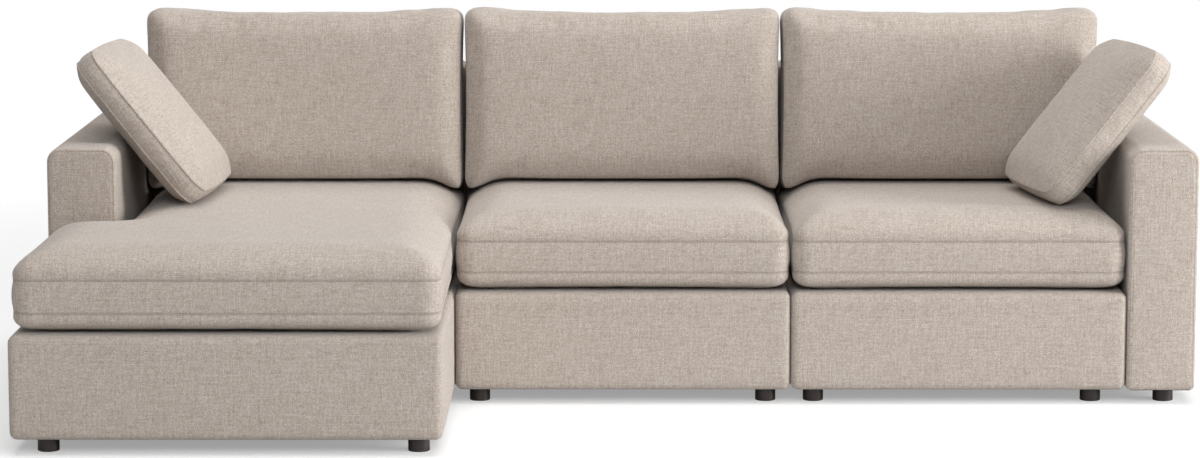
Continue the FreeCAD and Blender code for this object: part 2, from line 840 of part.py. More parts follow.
def spring_shape(x, y0, y1, z):
    radius = number("wire_radius")
    bars = int(round((y1 - y0) / number("spring_pitch"))) + 1
    pitch = (y1 - y0) / (bars - 1)
    bend = pitch / 2
    straight = number("spring_half_wide") - bend
    tail = number("spring_tail")
    side = 1
    edges = []
    start = V(x - tail, y0, z)
    for i in range(bars):
        y = y0 + i * pitch
        last = i == bars - 1
        end = V(x + side * (tail if last else straight), y, z)
        edges.append(Part.LineSegment(start, end).toShape())
        if last:
            break
        crest = V(end.x + side * bend, y + bend, z)
        start = V(end.x, y + pitch, z)
        edges.append(Part.Arc(end, crest, start).toShape())
        side = -side
    path = Part.Wire(edges)
    profile = Part.Wire(Part.makeCircle(radius, V(x - tail, y0, z), V(1, 0, 0)))
    return path.makePipeShell([profile], True, False)


def clip_shape():
    """A block of strip folded round the wire; its bore runs along X, its foot is at the origin."""
    long_, wide, high = number("clip_long"), number("clip_wide"), clip_high.value
    block = Part.makeBox(long_, wide, high, V(-long_ / 2, -wide / 2, 0))
    bore = Part.makeCylinder(clip_bore.value, long_, V(-long_ / 2, 0, high / 2), V(1, 0, 0))
    return block.cut(bore)


springs, clips = [], []
clip = clip_shape()
for x0, x1, y0, y1, z1 in spring_fields:
    margin, count = number("spring_margin"), int(number("springs_each"))
    step = (x1.value - x0.value - 2 * margin) / (count - 1)
    y_front, y_rear = y0.value + rail.value / 2, y1.value - rail.value / 2
    for i in range(count):
        x = x0.value + margin + i * step
        springs.append(spring_shape(x, y_front, y_rear, z1.value + clip_high.value / 2))
        for y in (y_front, y_rear):
            clips.append(clip.translated(V(x, y, z1.value)))


def feature_of(name, shape, placement=None):
    feature = doc.addObject("Part::Feature", name)
    feature.Shape = shape
    feature.Placement = placement or FreeCAD.Placement()
    return keep(feature, name)


feature_of("seat_springs", Part.makeCompound(springs))
feature_of("spring_clips", Part.makeCompound(clips))


# Cushions: closed crowned forms lofted through rings, thickness along their own Z

def inset_plan(points, wall):
    """The plan with every side moved in by wall; corners are square."""
    moved_points = []
    for i, point in enumerate(points):
        before = (point - points[i - 1]).normalize()
        after = (points[(i + 1) % len(points)] - point).normalize()
        inward = V(-before.y, before.x, 0) + V(-after.y, after.x, 0)
        moved_points.append(point + inward * wall)
    return moved_points


def ring(points, radii, draw, height):
    """One closed outline: an arc at each corner, each side drawn in a little at its middle."""
    starts, middles, ends = [], [], []
    count = len(points)
    for i, point in enumerate(points):
        before = (points[i - 1] - point).normalize()
        after = (points[(i + 1) % count] - point).normalize()
        half = before.getAngle(after) / 2
        centre = point + (before + after).normalize() * (radii[i] / math.sin(half))
        starts.append(point + before * (radii[i] / math.tan(half)))
        ends.append(point + after * (radii[i] / math.tan(half)))
        middles.append(centre + (point - centre).normalize() * radii[i])
    lift = V(0, 0, height)
    edges = []
    for i in range(count):
        start, end = ends[i], starts[(i + 1) % count]
        run = (end - start).normalize()
        waist = (start + end) / 2 + V(-run.y, run.x, 0) * draw
        edges.append(Part.Arc(starts[i] + lift, middles[i] + lift, ends[i] + lift).toShape())
        edges.append(Part.Arc(start + lift, waist + lift, end + lift).toShape())
    return Part.Wire(edges)


class Cushion:
    """Sizes of one kind of cushion: band between two seams, a crown below and above."""

    def __init__(self, low, band, high, low_reach, high_reach, corner, draw):
        self.low, self.band, self.high = low, band, high
        self.low_reach, self.high_reach = low_reach, high_reach
        self.corner, self.draw = corner, draw
        self.bulge = number("band_bulge")
        self.thick = low + band + high

    def levels(self, wall):
        """Heights of the rings, each with how far it lies inside the plan."""
        steps = 5
        rows = []
        for i in range(steps, -1, -1):
            turn = math.radians(90 * i / steps)
            height = self.low - (self.low - wall) * math.sin(turn)
            rows.append((height, wall + self.bulge + self.low_reach * (1 - math.cos(turn))))
        rows.append((self.low + self.band / 2, wall))
        for i in range(steps + 1):
            turn = math.radians(90 * i / steps)
            height = self.low + self.band + (self.high - wall) * math.sin(turn)
            rows.append((height, wall + self.bulge + self.high_reach * (1 - math.cos(turn))))
        return rows

    def form(self, plan, wall, inner_corners=()):
        rings = []
        for height, inset in self.levels(wall):
            points = inset_plan(plan, inset)
            grow = (inset - wall) / 4
            radii = [self.corner - wall + grow] * len(plan)
            for i in inner_corners:
                radii[i] = number("inner_corner") + wall + grow
            rings.append(ring(points, radii, self.draw, height))
        return Part.makeLoft(rings, True, True)

    def top_over(self, x, y, low, high):
        """Height of the top of a plain box cushion over a point, from its own underside."""
        inside = min(x - low[0], high[0] - x, y - low[1], high[1] - y)
        if inside <= 0:
            return None
        share = min(max(inside - self.bulge, 0) / self.high_reach, 1)
        return self.low + self.band + self.high * math.sqrt(1 - (1 - share) ** 2)


def rectangle_plan(low, high):
    return [V(low[0], low[1]), V(high[0], low[1]), V(high[0], high[1]), V(low[0], high[1])]


def sewn(kind, plan, zip_side, inner_corners=()):
    """Outer form, cover, zip and core of one cushion; the zip runs along one side of the plan."""
    outer = kind.form(plan, 0, inner_corners)
    core = kind.form(plan, cloth.value, inner_corners)
    shell = outer.cut(core)
    start, end = plan[zip_side], plan[(zip_side + 1) % len(plan)]
    middle = (start + end) / 2
    half_long = abs(end.x - start.x) * number("zip_share") / 2
    wide = number("zip_wide")
    depth = number("zip_depth")
    slot_low = V(middle.x - half_long, middle.y - depth, kind.low + kind.band / 2 - wide / 2)
    slot = Part.makeBox(2 * half_long, 2 * depth, wide, slot_low)
    return {"cover": shell.cut(slot), "zip": shell.common(slot), "core": core, "outer": outer}


def lay(name, pieces, placement):
    for piece in ("cover", "zip", "core"):
        feature_of("%s_%s" % (name, piece), pieces[piece].copy(), placement)


gap = number("soft_gap")
deck = base_top.value + gap
seat_kind = Cushion(
    number("seam_low"),
    number("seam_high") - number("seam_low"),
    number("seat_crown"),
    number("seat_roll"),
    number("seat_reach"),
    number("seat_corner"),
    number("side_draw"),
)
back_kind = Cushion(
    number("back_crown"),
    number("back_band"),
    number("back_crown"),
    number("back_reach"),
    number("back_reach"),
    number("back_corner"),
    number("back_draw"),
)
pillow_kind = Cushion(
    number("pillow_crown"),
    number("pillow_band"),
    number("pillow_crown"),
    number("pillow_reach"),
    number("pillow_reach"),
    number("pillow_corner"),
    number("pillow_draw"),
)
cushion_rear = BACK_FRONT.value - gap
seat_low_y = SEAT_FRONT.value + number("seat_front_inset")
seat_wide = number("seat_wide") - 2 * gap
seat_plan = rectangle_plan((0, 0), (seat_wide, cushion_rear - seat_low_y))
seat_pieces = sewn(seat_kind, seat_plan, 2)
seat_limits = {}
for seat, name in ((1, "middle_seat_cushion"), (2, "right_seat_cushion")):
    low = (SEAT_X[seat].value + gap, seat_low_y)
    seat_limits[seat] = (low, (low[0] + seat_wide, cushion_rear))
    lay(name, seat_pieces, FreeCAD.Placement(V(low[0], low[1], deck), FreeCAD.Rotation()))

inset = number("chaise_edge_inset")
chaise_left = ARM_OUT_L.value + inset
chaise_front = FRONT.value + inset
tail_left = SEAT_X[0].value + gap
tail_right = SEAT_X[1].value - gap
notch = SEAT_FRONT.value - number("arm_front_gap")
chaise_plan = [
    V(chaise_left, chaise_front),
    V(tail_right, chaise_front),
    V(tail_right, cushion_rear),
    V(tail_left, cushion_rear),
    V(tail_left, notch),
    V(chaise_left, notch),
]
seat_limits[0] = ((tail_left, chaise_front), (tail_right, cushion_rear))
chaise_pieces = sewn(seat_kind, chaise_plan, 2, inner_corners=(4,))
lay("chaise_cushion", chaise_pieces, FreeCAD.Placement(V(0, 0, deck), FreeCAD.Rotation()))


def rise_onto_seat(points, seat):
    """How far the points must rise, or sink if negative, to lie on one seat cushion."""
    low, high = seat_limits[seat]
    needs = []
    for point in points:
        top = seat_kind.top_over(point.x, point.y, low, high)
        if top is not None:
            needs.append(deck + top + gap - point.z)
    return max(needs)


def room_before(face, top, radius, reaches):
    """How far points may still move before they touch an upright panel with a rounded top edge.
    Each point is given as its distance towards the panel and its height."""
    rooms = []
    for distance, z in reaches:
        above = z - (top - radius)
        if above < radius + gap:
            proud = math.sqrt((radius + gap) ** 2 - max(above, 0) ** 2) - radius
            rooms.append(face - proud - distance)
    return min(rooms)


def shift_off_arm(points, way):
    """How far along +X the points must move to lean on the arm on the side of way."""
    face = SEAT_X[0 if way < 0 else 3].value
    reaches = [(way * point.x, point.z) for point in points]
    return way * room_before(way * face, arm_top.value, number("arm_round"), reaches)


def shift_off_back(points):
    """How far along +Y the points must move to lean on the back panel."""
    reaches = [(point.y, point.z) for point in points]
    return room_before(BACK_FRONT.value, back_top.value, number("back_round"), reaches)


def surface_points(pieces):
    """Points along every ring of a cushion's outer form."""
    points = []
    for edge_line in pieces["outer"].Edges:
        points += edge_line.discretize(Number=12)
    return points


def at(place, rotation, points):
    placement = FreeCAD.Placement(place, rotation)
    return [placement.multVec(point) for point in points]


# Back cushions stand on the seat cushions and lean on the back panels
tilt = FreeCAD.Rotation(V(1, 0, 0), 90 - number("back_tilt"))
back_plan = rectangle_plan((0, 0), (seat_wide, number("back_cushion_high")))
back_pieces = sewn(back_kind, back_plan, 0)
back_points = surface_points(back_pieces)
back_fronts = []
for seat, name in enumerate(("left_back_cushion", "middle_back_cushion", "right_back_cushion")):
    place = V(SEAT_X[seat].value + gap, 0, deck + seat_kind.thick)
    for _ in range(3):
        place.y += shift_off_back(at(place, tilt, back_points))
        place.z += rise_onto_seat(at(place, tilt, back_points), seat)
    back_fronts.append(min(p.y for p in at(place, tilt, back_points)))
    lay(name, back_pieces, FreeCAD.Placement(place, tilt))

# Pillows stand on edge on the seat cushions and lean on the arms
pillow_side = number("pillow_side")
pillow_plan = rectangle_plan((0, -pillow_side / 2), (pillow_side, pillow_side / 2))
pillow_pieces = sewn(pillow_kind, pillow_plan, 2)
pillow_points = surface_points(pillow_pieces)
for name, seat, way in (("left_pillow", 0, -1), ("right_pillow", 2, 1)):
    lean = 180 - number("pillow_lean") if way < 0 else number("pillow_lean")
    turn = way * number("left_pillow_turn" if way < 0 else "right_pillow_turn")
    rotation = FreeCAD.Rotation(V(0, 0, 1), turn) * FreeCAD.Rotation(V(0, 1, 0), -lean)
    start_x = SEAT_X[0 if way < 0 else 3].value - way * pillow_side / 2
    start_z = deck + seat_kind.thick + pillow_kind.high
    place = V(start_x, SEAT_FRONT.value + pillow_side / 2, start_z)
    for _ in range(4):
        rear = max(p.y for p in at(place, rotation, pillow_points))
        place.y += back_fronts[seat] - gap - rear
        place.x += shift_off_arm(at(place, rotation, pillow_points), way)
        place.z += rise_onto_seat(at(place, rotation, pillow_points), seat)
    lay(name, pillow_pieces, FreeCAD.Placement(place, rotation))

doc.recompute()
for feature in doc.Objects:
    if "Invalid" in feature.State or "Error" in feature.State:
        raise RuntimeError("%s failed" % feature.Label)
os.makedirs(PARTS, exist_ok=True)
for feature in nodes:
    if feature.Shape.isNull() or not feature.Shape.isValid() or not feature.Shape.Solids:
        raise RuntimeError("%s has no valid solid" % feature.Label)
    feature.Shape.exportStep(os.path.join(PARTS, feature.Label + ".step"))
print(len(nodes), "sub-parts")
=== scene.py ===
import json
import math

import bpy
import numpy as np
from mathutils import Matrix, Vector, noise
from mathutils.bvhtree import BVHTree


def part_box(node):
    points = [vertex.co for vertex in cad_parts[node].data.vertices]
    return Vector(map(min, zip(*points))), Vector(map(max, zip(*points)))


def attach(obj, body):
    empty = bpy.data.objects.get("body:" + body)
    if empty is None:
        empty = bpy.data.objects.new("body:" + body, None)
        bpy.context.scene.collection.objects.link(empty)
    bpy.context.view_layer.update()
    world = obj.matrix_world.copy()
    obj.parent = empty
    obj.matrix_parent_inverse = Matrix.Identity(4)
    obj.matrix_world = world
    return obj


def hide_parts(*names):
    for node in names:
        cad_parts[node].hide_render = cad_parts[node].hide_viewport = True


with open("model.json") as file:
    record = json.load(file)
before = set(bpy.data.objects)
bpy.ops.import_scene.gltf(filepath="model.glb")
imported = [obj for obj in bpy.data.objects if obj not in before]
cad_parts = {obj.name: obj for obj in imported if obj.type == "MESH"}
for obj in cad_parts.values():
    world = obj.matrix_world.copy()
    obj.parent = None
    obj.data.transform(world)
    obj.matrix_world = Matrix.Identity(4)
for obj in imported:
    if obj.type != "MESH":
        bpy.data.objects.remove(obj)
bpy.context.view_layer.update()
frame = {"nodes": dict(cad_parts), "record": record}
scene = bpy.context.scene

# Sizes in metres. Seams of the cushions, from each cushion's own underside
SEAT_LOW, SEAT_HIGH = 0.047, 0.125
BACK_CROWN, PILLOW_CROWN = 0.052, 0.052
BACK_TILT = math.radians(4)
PILLOW_LEAN = math.radians(51)
PILLOW_TURN = {"left_pillow": math.radians(4), "right_pillow": math.radians(9)}
BOX_ROUND = 0.018
ARM_TOP_ROUND, ARM_LOW_ROUND = 0.035, 0.012
BAND_BULGE, SEAM_DEPTH = 0.004, 0.0008
CLEAR, CONTACT = 0.0006, 0.0012
EDGE_STEP, STEP_GROWTH, BAND_ROWS = 0.0022, 1.45, 6
STUFF_FRAMES = 18
# How far the stuffing may move the cloth
SEAT_SWELL, BACK_SWELL, PILLOW_SWELL = 0.009, 0.009, 0.010
# How far the sides of a cushion are drawn in, and how near a seam the cloth is held short
DRAW_REACH, SHORT_REACH = 0.2, 0.02
PUSH_REACH = 0.08
# A back cushion settles at most SETTLE_MOST, less and less up to SETTLE_REACH above its underside
SETTLE_REACH, SETTLE_MOST = 0.22, 0.030
RUFFLE_REACH = 0.07
PILLOW_ASIDE, PILLOW_DROP = 0.008, 0.020
# Across a zip: distance from its middle line, and height above the band
ZIP_PROFILE = (
    (0.0075, -0.0012),
    (0.006, 0.0004),
    (0.002, 0.0006),
    (-0.002, 0.0006),
    (-0.006, 0.0004),
    (-0.0075, -0.0012),
)
ZIP_MARGIN = 0.12
BOX_ROWS, BOX_STRAIGHT_ROWS = 14, 10
BOX_PANEL_STEP = 0.04
# The tops of boxes swell a little away from their edges
BOX_PUFF, BOX_PUFF_REACH, BOX_SINK = 0.0015, 0.2, 0.0006
ARM_SEAM_INSET, ARM_PANEL_STEP = 0.0066, 0.04
AMBIENT = 0.18


# Materials


class Nodes:
    """Short calls for building one node tree."""

    def __init__(self, material):
        self.tree = material.node_tree
        self.tree.nodes.clear()

    def add(self, kind, inputs=None, **settings):
        node = self.tree.nodes.new(kind)
        for key, value in settings.items():
            setattr(node, key, value)
        for key, value in (inputs or {}).items():
            self.feed(node.inputs[key], value)
        return node

    def feed(self, socket, value):
        if isinstance(value, bpy.types.NodeSocket):
            self.tree.links.new(value, socket)
        else:
            socket.default_value = value

    def math(self, operation, *values):
        node = self.add("ShaderNodeMath", operation=operation)
        for socket, value in zip(node.inputs, values):
            self.feed(socket, value)
        return node.outputs[0]

    def mix(self, factor, a, b):
        node = self.add("ShaderNodeMix", data_type="RGBA")
        self.feed(node.inputs[0], factor)
        self.feed(node.inputs[6], a)
        self.feed(node.inputs[7], b)
        return node.outputs[2]

    def noise(self, vector, scale, detail=2.0, roughness=0.5):
        node = self.add(
            "ShaderNodeTexNoise",
            {"Vector": vector, "Scale": scale, "Detail": detail, "Roughness": roughness},
        )
        return node.outputs[0]

    def stretch(self, vector, x, y, z=1.0):
        node = self.add("ShaderNodeMapping", {"Vector": vector, "Scale": (x, y, z)})
        return node.outputs[0]

    def smooth(self, value, low, high):
        node = self.add(
            "ShaderNodeMapRange",
            {"Value": value, "From Min": low, "From Max": high},
            interpolation_type="SMOOTHSTEP",
        )
        return node.outputs[0]

    def bump(self, height, distance, strength=1.0, normal=None):
        inputs = {"Height": height, "Distance": distance, "Strength": strength}
        if normal is not None:
            inputs["Normal"] = normal
        return self.add("ShaderNodeBump", inputs).outputs[0]

    def surface(self, colour, roughness, normal=None, **constants):
        shader = self.add("ShaderNodeBsdfPrincipled")
        self.feed(shader.inputs["Base Color"], colour)
        self.feed(shader.inputs["Roughness"], roughness)
        if normal is not None:
            self.feed(shader.inputs["Normal"], normal)
        for key, value in constants.items():
            shader.inputs[key.replace("_", " ")].default_value = value
        out = self.add("ShaderNodeOutputMaterial")
        self.tree.links.new(shader.outputs[0], out.inputs[0])
        return shader


def new_material(name):
    material = bpy.data.materials.new(name)
    material.use_nodes = True
    return material, Nodes(material)


YARN = 0.0026


def linen(name, dark, mid, light):
    """Woven slub linen: yarns, slubs, mottling, and seams where seam_distance is near zero."""
    material, n = new_material(name)
    uv = n.add("ShaderNodeUVMap", uv_map="cloth").outputs[0]
    parts = n.add("ShaderNodeSeparateXYZ", {0: uv})
    u = n.math("DIVIDE", parts.outputs[0], YARN)
    v = n.math("DIVIDE", parts.outputs[1], YARN)
    column, row = n.math("FLOOR", u), n.math("FLOOR", v)
    over = n.math("FLOORED_MODULO", n.math("ADD", column, row), 2.0)
    across_u = n.math("SUBTRACT", n.math("FRACT", u), 0.5)
    across_v = n.math("SUBTRACT", n.math("FRACT", v), 0.5)

    def yarn(across, along):
        side = n.math("MULTIPLY", n.math("MULTIPLY", across, across), -4.0)
        rise = n.math("COSINE", n.math("MULTIPLY", along, math.pi))
        return n.math("MULTIPLY", n.math("ADD", side, 1.0), n.math("MULTIPLY_ADD", rise, 0.5, 0.5))

    warp, weft = yarn(across_u, across_v), yarn(across_v, across_u)
    pick = n.add("ShaderNodeMix", {0: over, 2: warp, 3: weft}, data_type="FLOAT")
    weave = pick.outputs[0]
    # Each yarn has its own tone, which drifts slowly along its length
    warp_place = n.add("ShaderNodeCombineXYZ", {0: column, 1: n.math("MULTIPLY", v, 0.05)})
    weft_place = n.add("ShaderNodeCombineXYZ", {0: n.math("MULTIPLY", u, 0.05), 1: row})
    warp_tone = n.noise(n.stretch(warp_place.outputs[0], 0.73, 1.0), 1.0, 1.0)
    weft_tone = n.noise(n.stretch(weft_place.outputs[0], 1.0, 0.73), 1.0, 1.0)
    tone = n.add("ShaderNodeMix", {0: over, 2: warp_tone, 3: weft_tone}, data_type="FLOAT").outputs[0]
    slub_down = n.noise(n.stretch(uv, 170.0, 14.0), 1.0, 3.0, 0.6)
    slub_along = n.noise(n.stretch(uv, 14.0, 170.0), 1.0, 3.0, 0.6)
    place = n.add("ShaderNodeTexCoord").outputs["Object"]
    mottle = n.noise(place, 34.0, 4.0, 0.6)
    cloud = n.noise(place, 5.0, 2.0)

    def centred(value, weight):
        return n.math("MULTIPLY", n.math("SUBTRACT", value, 0.5), weight)

    cell = n.add("ShaderNodeCombineXYZ", {0: column, 1: row}).outputs[0]
    nub = n.add("ShaderNodeTexWhiteNoise", {"Vector": cell}, noise_dimensions="2D").outputs[0]
    shade = centred(tone, 1.0)
    rest = ((nub, 0.55), (slub_down, 0.42), (slub_along, 0.30), (mottle, 0.12), (cloud, 0.16), (weave, 0.5))
    for value, weight in rest:
        shade = n.math("ADD", shade, centred(value, weight))
    lighter = n.smooth(shade, 0.0, 0.62)
    darker = n.smooth(shade, 0.0, -0.62)
    colour = n.mix(darker, n.mix(lighter, mid, light), dark)
    normal = n.bump(weave, 0.0006, 0.55)
    rough_cloth = n.math("ADD", centred(slub_down, 1.0), centred(slub_along, 1.0))
    normal = n.bump(rough_cloth, 0.0016, 0.45, normal)
    seam = n.add("ShaderNodeAttribute", attribute_name="seam_distance").outputs["Fac"]
    line = n.smooth(seam, 0.0013, 0.0003)
    colour = n.mix(n.math("MULTIPLY", line, 0.34), colour, [c * 0.5 for c in dark[:3]] + [1])
    near = n.smooth(seam, 0.030, 0.002)
    pucker = n.noise(place, 62.0, 2.0, 0.55)
    normal = n.bump(n.math("MULTIPLY", pucker, near), 0.0030, 0.5, normal)
    normal = n.bump(n.smooth(seam, 0.0002, 0.0020), 0.0006, 0.6, normal)
    n.surface(
        colour, 0.92, normal, Sheen_Weight=0.22, Sheen_Roughness=0.45, Specular_IOR_Level=0.18
    )
    return material


def speckled(name, low, high, scale, rough, bump, stretch=(1, 1, 1), **constants):
    """A plain material whose colour, roughness and surface vary with one noise."""
    material, n = new_material(name)
    place = n.add("ShaderNodeTexCoord").outputs["Object"]
    spread = n.noise(n.stretch(place, *stretch), scale, 3.0, 0.6)
    fine = n.noise(place, scale * 7, 2.0)
    colour = n.mix(n.smooth(spread, 0.3, 0.7), low, high)
    roughness = n.math("MULTIPLY_ADD", fine, rough[1] - rough[0], rough[0])
    n.surface(colour, roughness, n.bump(fine, bump, 0.5), **constants)
    return material


def grainy(name, low, high, along):
    """Timber or board with grain along one axis."""
    material, n = new_material(name)
    place = n.add("ShaderNodeTexCoord").outputs["Object"]
    scale = [3.0 if axis == along else 38.0 for axis in "XYZ"]
    rings = n.noise(n.stretch(place, *scale), 1.0, 5.0, 0.65)
    pores = n.noise(n.stretch(place, *[s * 9 for s in scale]), 1.0, 2.0)
    colour = n.mix(n.smooth(rings, 0.35, 0.65), low, high)
    colour = n.mix(n.math("MULTIPLY", n.smooth(pores, 0.62, 0.72), 0.5), colour, [c * 0.6 for c in low])
    n.surface(colour, 0.62, n.bump(n.math("ADD", rings, pores), 0.0006, 0.5), Specular_IOR_Level=0.3)
    return material


def ribbed(name, low, high, pitch, along):
    """Woven tape or a zip chain: fine ribs across a strip."""
    material, n = new_material(name)
    place = n.add("ShaderNodeTexCoord").outputs["Object"]
    axis = n.add("ShaderNodeSeparateXYZ", {0: place}).outputs["XYZ".index(along)]
    rib = n.math("SINE", n.math("MULTIPLY", axis, 2 * math.pi / pitch))
    rib = n.math("MULTIPLY_ADD", rib, 0.5, 0.5)
    wear = n.noise(place, 60.0, 3.0)
    colour = n.mix(n.math("MULTIPLY", n.math("ADD", rib, wear), 0.5), low, high)
    n.surface(colour, 0.7, n.bump(rib, pitch * 0.3, 0.6), Specular_IOR_Level=0.3)
    return material


CLOTH_DARK = (0.268, 0.217, 0.176, 1)
CLOTH_MID = (0.427, 0.367, 0.320, 1)
CLOTH_LIGHT = (0.565, 0.517, 0.476, 1)
materials = {
    "base_fabric": linen("base_linen", CLOTH_DARK, CLOTH_MID, CLOTH_LIGHT),
    "cushion_fabric": linen("cushion_linen", CLOTH_DARK, CLOTH_MID, CLOTH_LIGHT),
    "foam_core": speckled(
        "foam_core", (0.80, 0.74, 0.55, 1), (0.88, 0.84, 0.68, 1), 90, (0.8, 0.95), 0.0008
    ),
    "foam_board": speckled(
        "foam_board", (0.76, 0.71, 0.54, 1), (0.85, 0.81, 0.66, 1), 70, (0.8, 0.95), 0.0008
    ),
    "hardboard": speckled(
        "hardboard", (0.30, 0.19, 0.11, 1), (0.42, 0.28, 0.17, 1), 120, (0.5, 0.75), 0.0003
    ),
    "timber": grainy("pine", (0.55, 0.36, 0.19, 1), (0.75, 0.57, 0.36, 1), "X"),
    "foot_black": speckled(
        "stained_foot",
        (0.012, 0.008, 0.007, 1),
        (0.026, 0.017, 0.014, 1),
        40,
        (0.30, 0.46),
        0.0002,
        stretch=(1, 1, 0.2),
    ),
    "dust_cloth": speckled(
        "dust_cloth", (0.012, 0.012, 0.013, 1), (0.03, 0.03, 0.032, 1), 300, (0.85, 1.0), 0.0005
    ),
    "webbing": ribbed("webbing", (0.035, 0.03, 0.026, 1), (0.10, 0.09, 0.075, 1), 0.004, "X"),
    "zip": ribbed("zip_chain", (0.30, 0.24, 0.19, 1), (0.55, 0.47, 0.39, 1), 0.0025, "X"),
    "steel": speckled(
        "zinc_steel",
        (0.42, 0.43, 0.45, 1),
        (0.62, 0.63, 0.64, 1),
        55,
        (0.28, 0.5),
        0.0001,
        stretch=(1, 1, 4),
        Metallic=1.0,
    ),
}

for entry in frame["record"]["subparts"]:
    node = frame["nodes"][entry["node"]]
    node.data.materials.clear()
    node.data.materials.append(materials[entry["material_slot"]])


# Meshes of sewn pieces: a grid panel above, a band round it and a grid panel below


def graded(length, fine, coarse):
    """Steps that add up to a length, small at both ends."""
    steps, step, used = [], fine, 0.0
    while step < coarse and used + step < (length - coarse) / 2:
        steps.append(step)
        used += step
        step *= STEP_GROWTH
    rest = length - 2 * used
    count = max(1, round(rest / coarse))
    return steps + [rest / count] * count + steps[::-1]


def grid_lines(stops, fine, coarse):
    """Grid places between stops, close together beside each stop."""
    points = [stops[0]]
    for low, high in zip(stops, stops[1:]):
        for step in graded(high - low, fine, coarse):
            points.append(points[-1] + step)
    return np.array(points)


def outline(kept):
    """Grid points round the kept cells, counter-clockwise from above."""
    after = {}
    across, along = kept.shape
    for i in range(across):
        for j in range(along):
            if not kept[i, j]:
                continue
            if j == 0 or not kept[i, j - 1]:
                after[(i, j)] = (i + 1, j)
            if i == across - 1 or not kept[i + 1, j]:
                after[(i + 1, j)] = (i + 1, j + 1)
            if j == along - 1 or not kept[i, j + 1]:
                after[(i + 1, j + 1)] = (i, j + 1)
            if i == 0 or not kept[i - 1, j]:
                after[(i, j + 1)] = (i, j)
    loop = [(0, 0)]
    while after[loop[-1]] != loop[0]:
        loop.append(after[loop[-1]])
    return loop


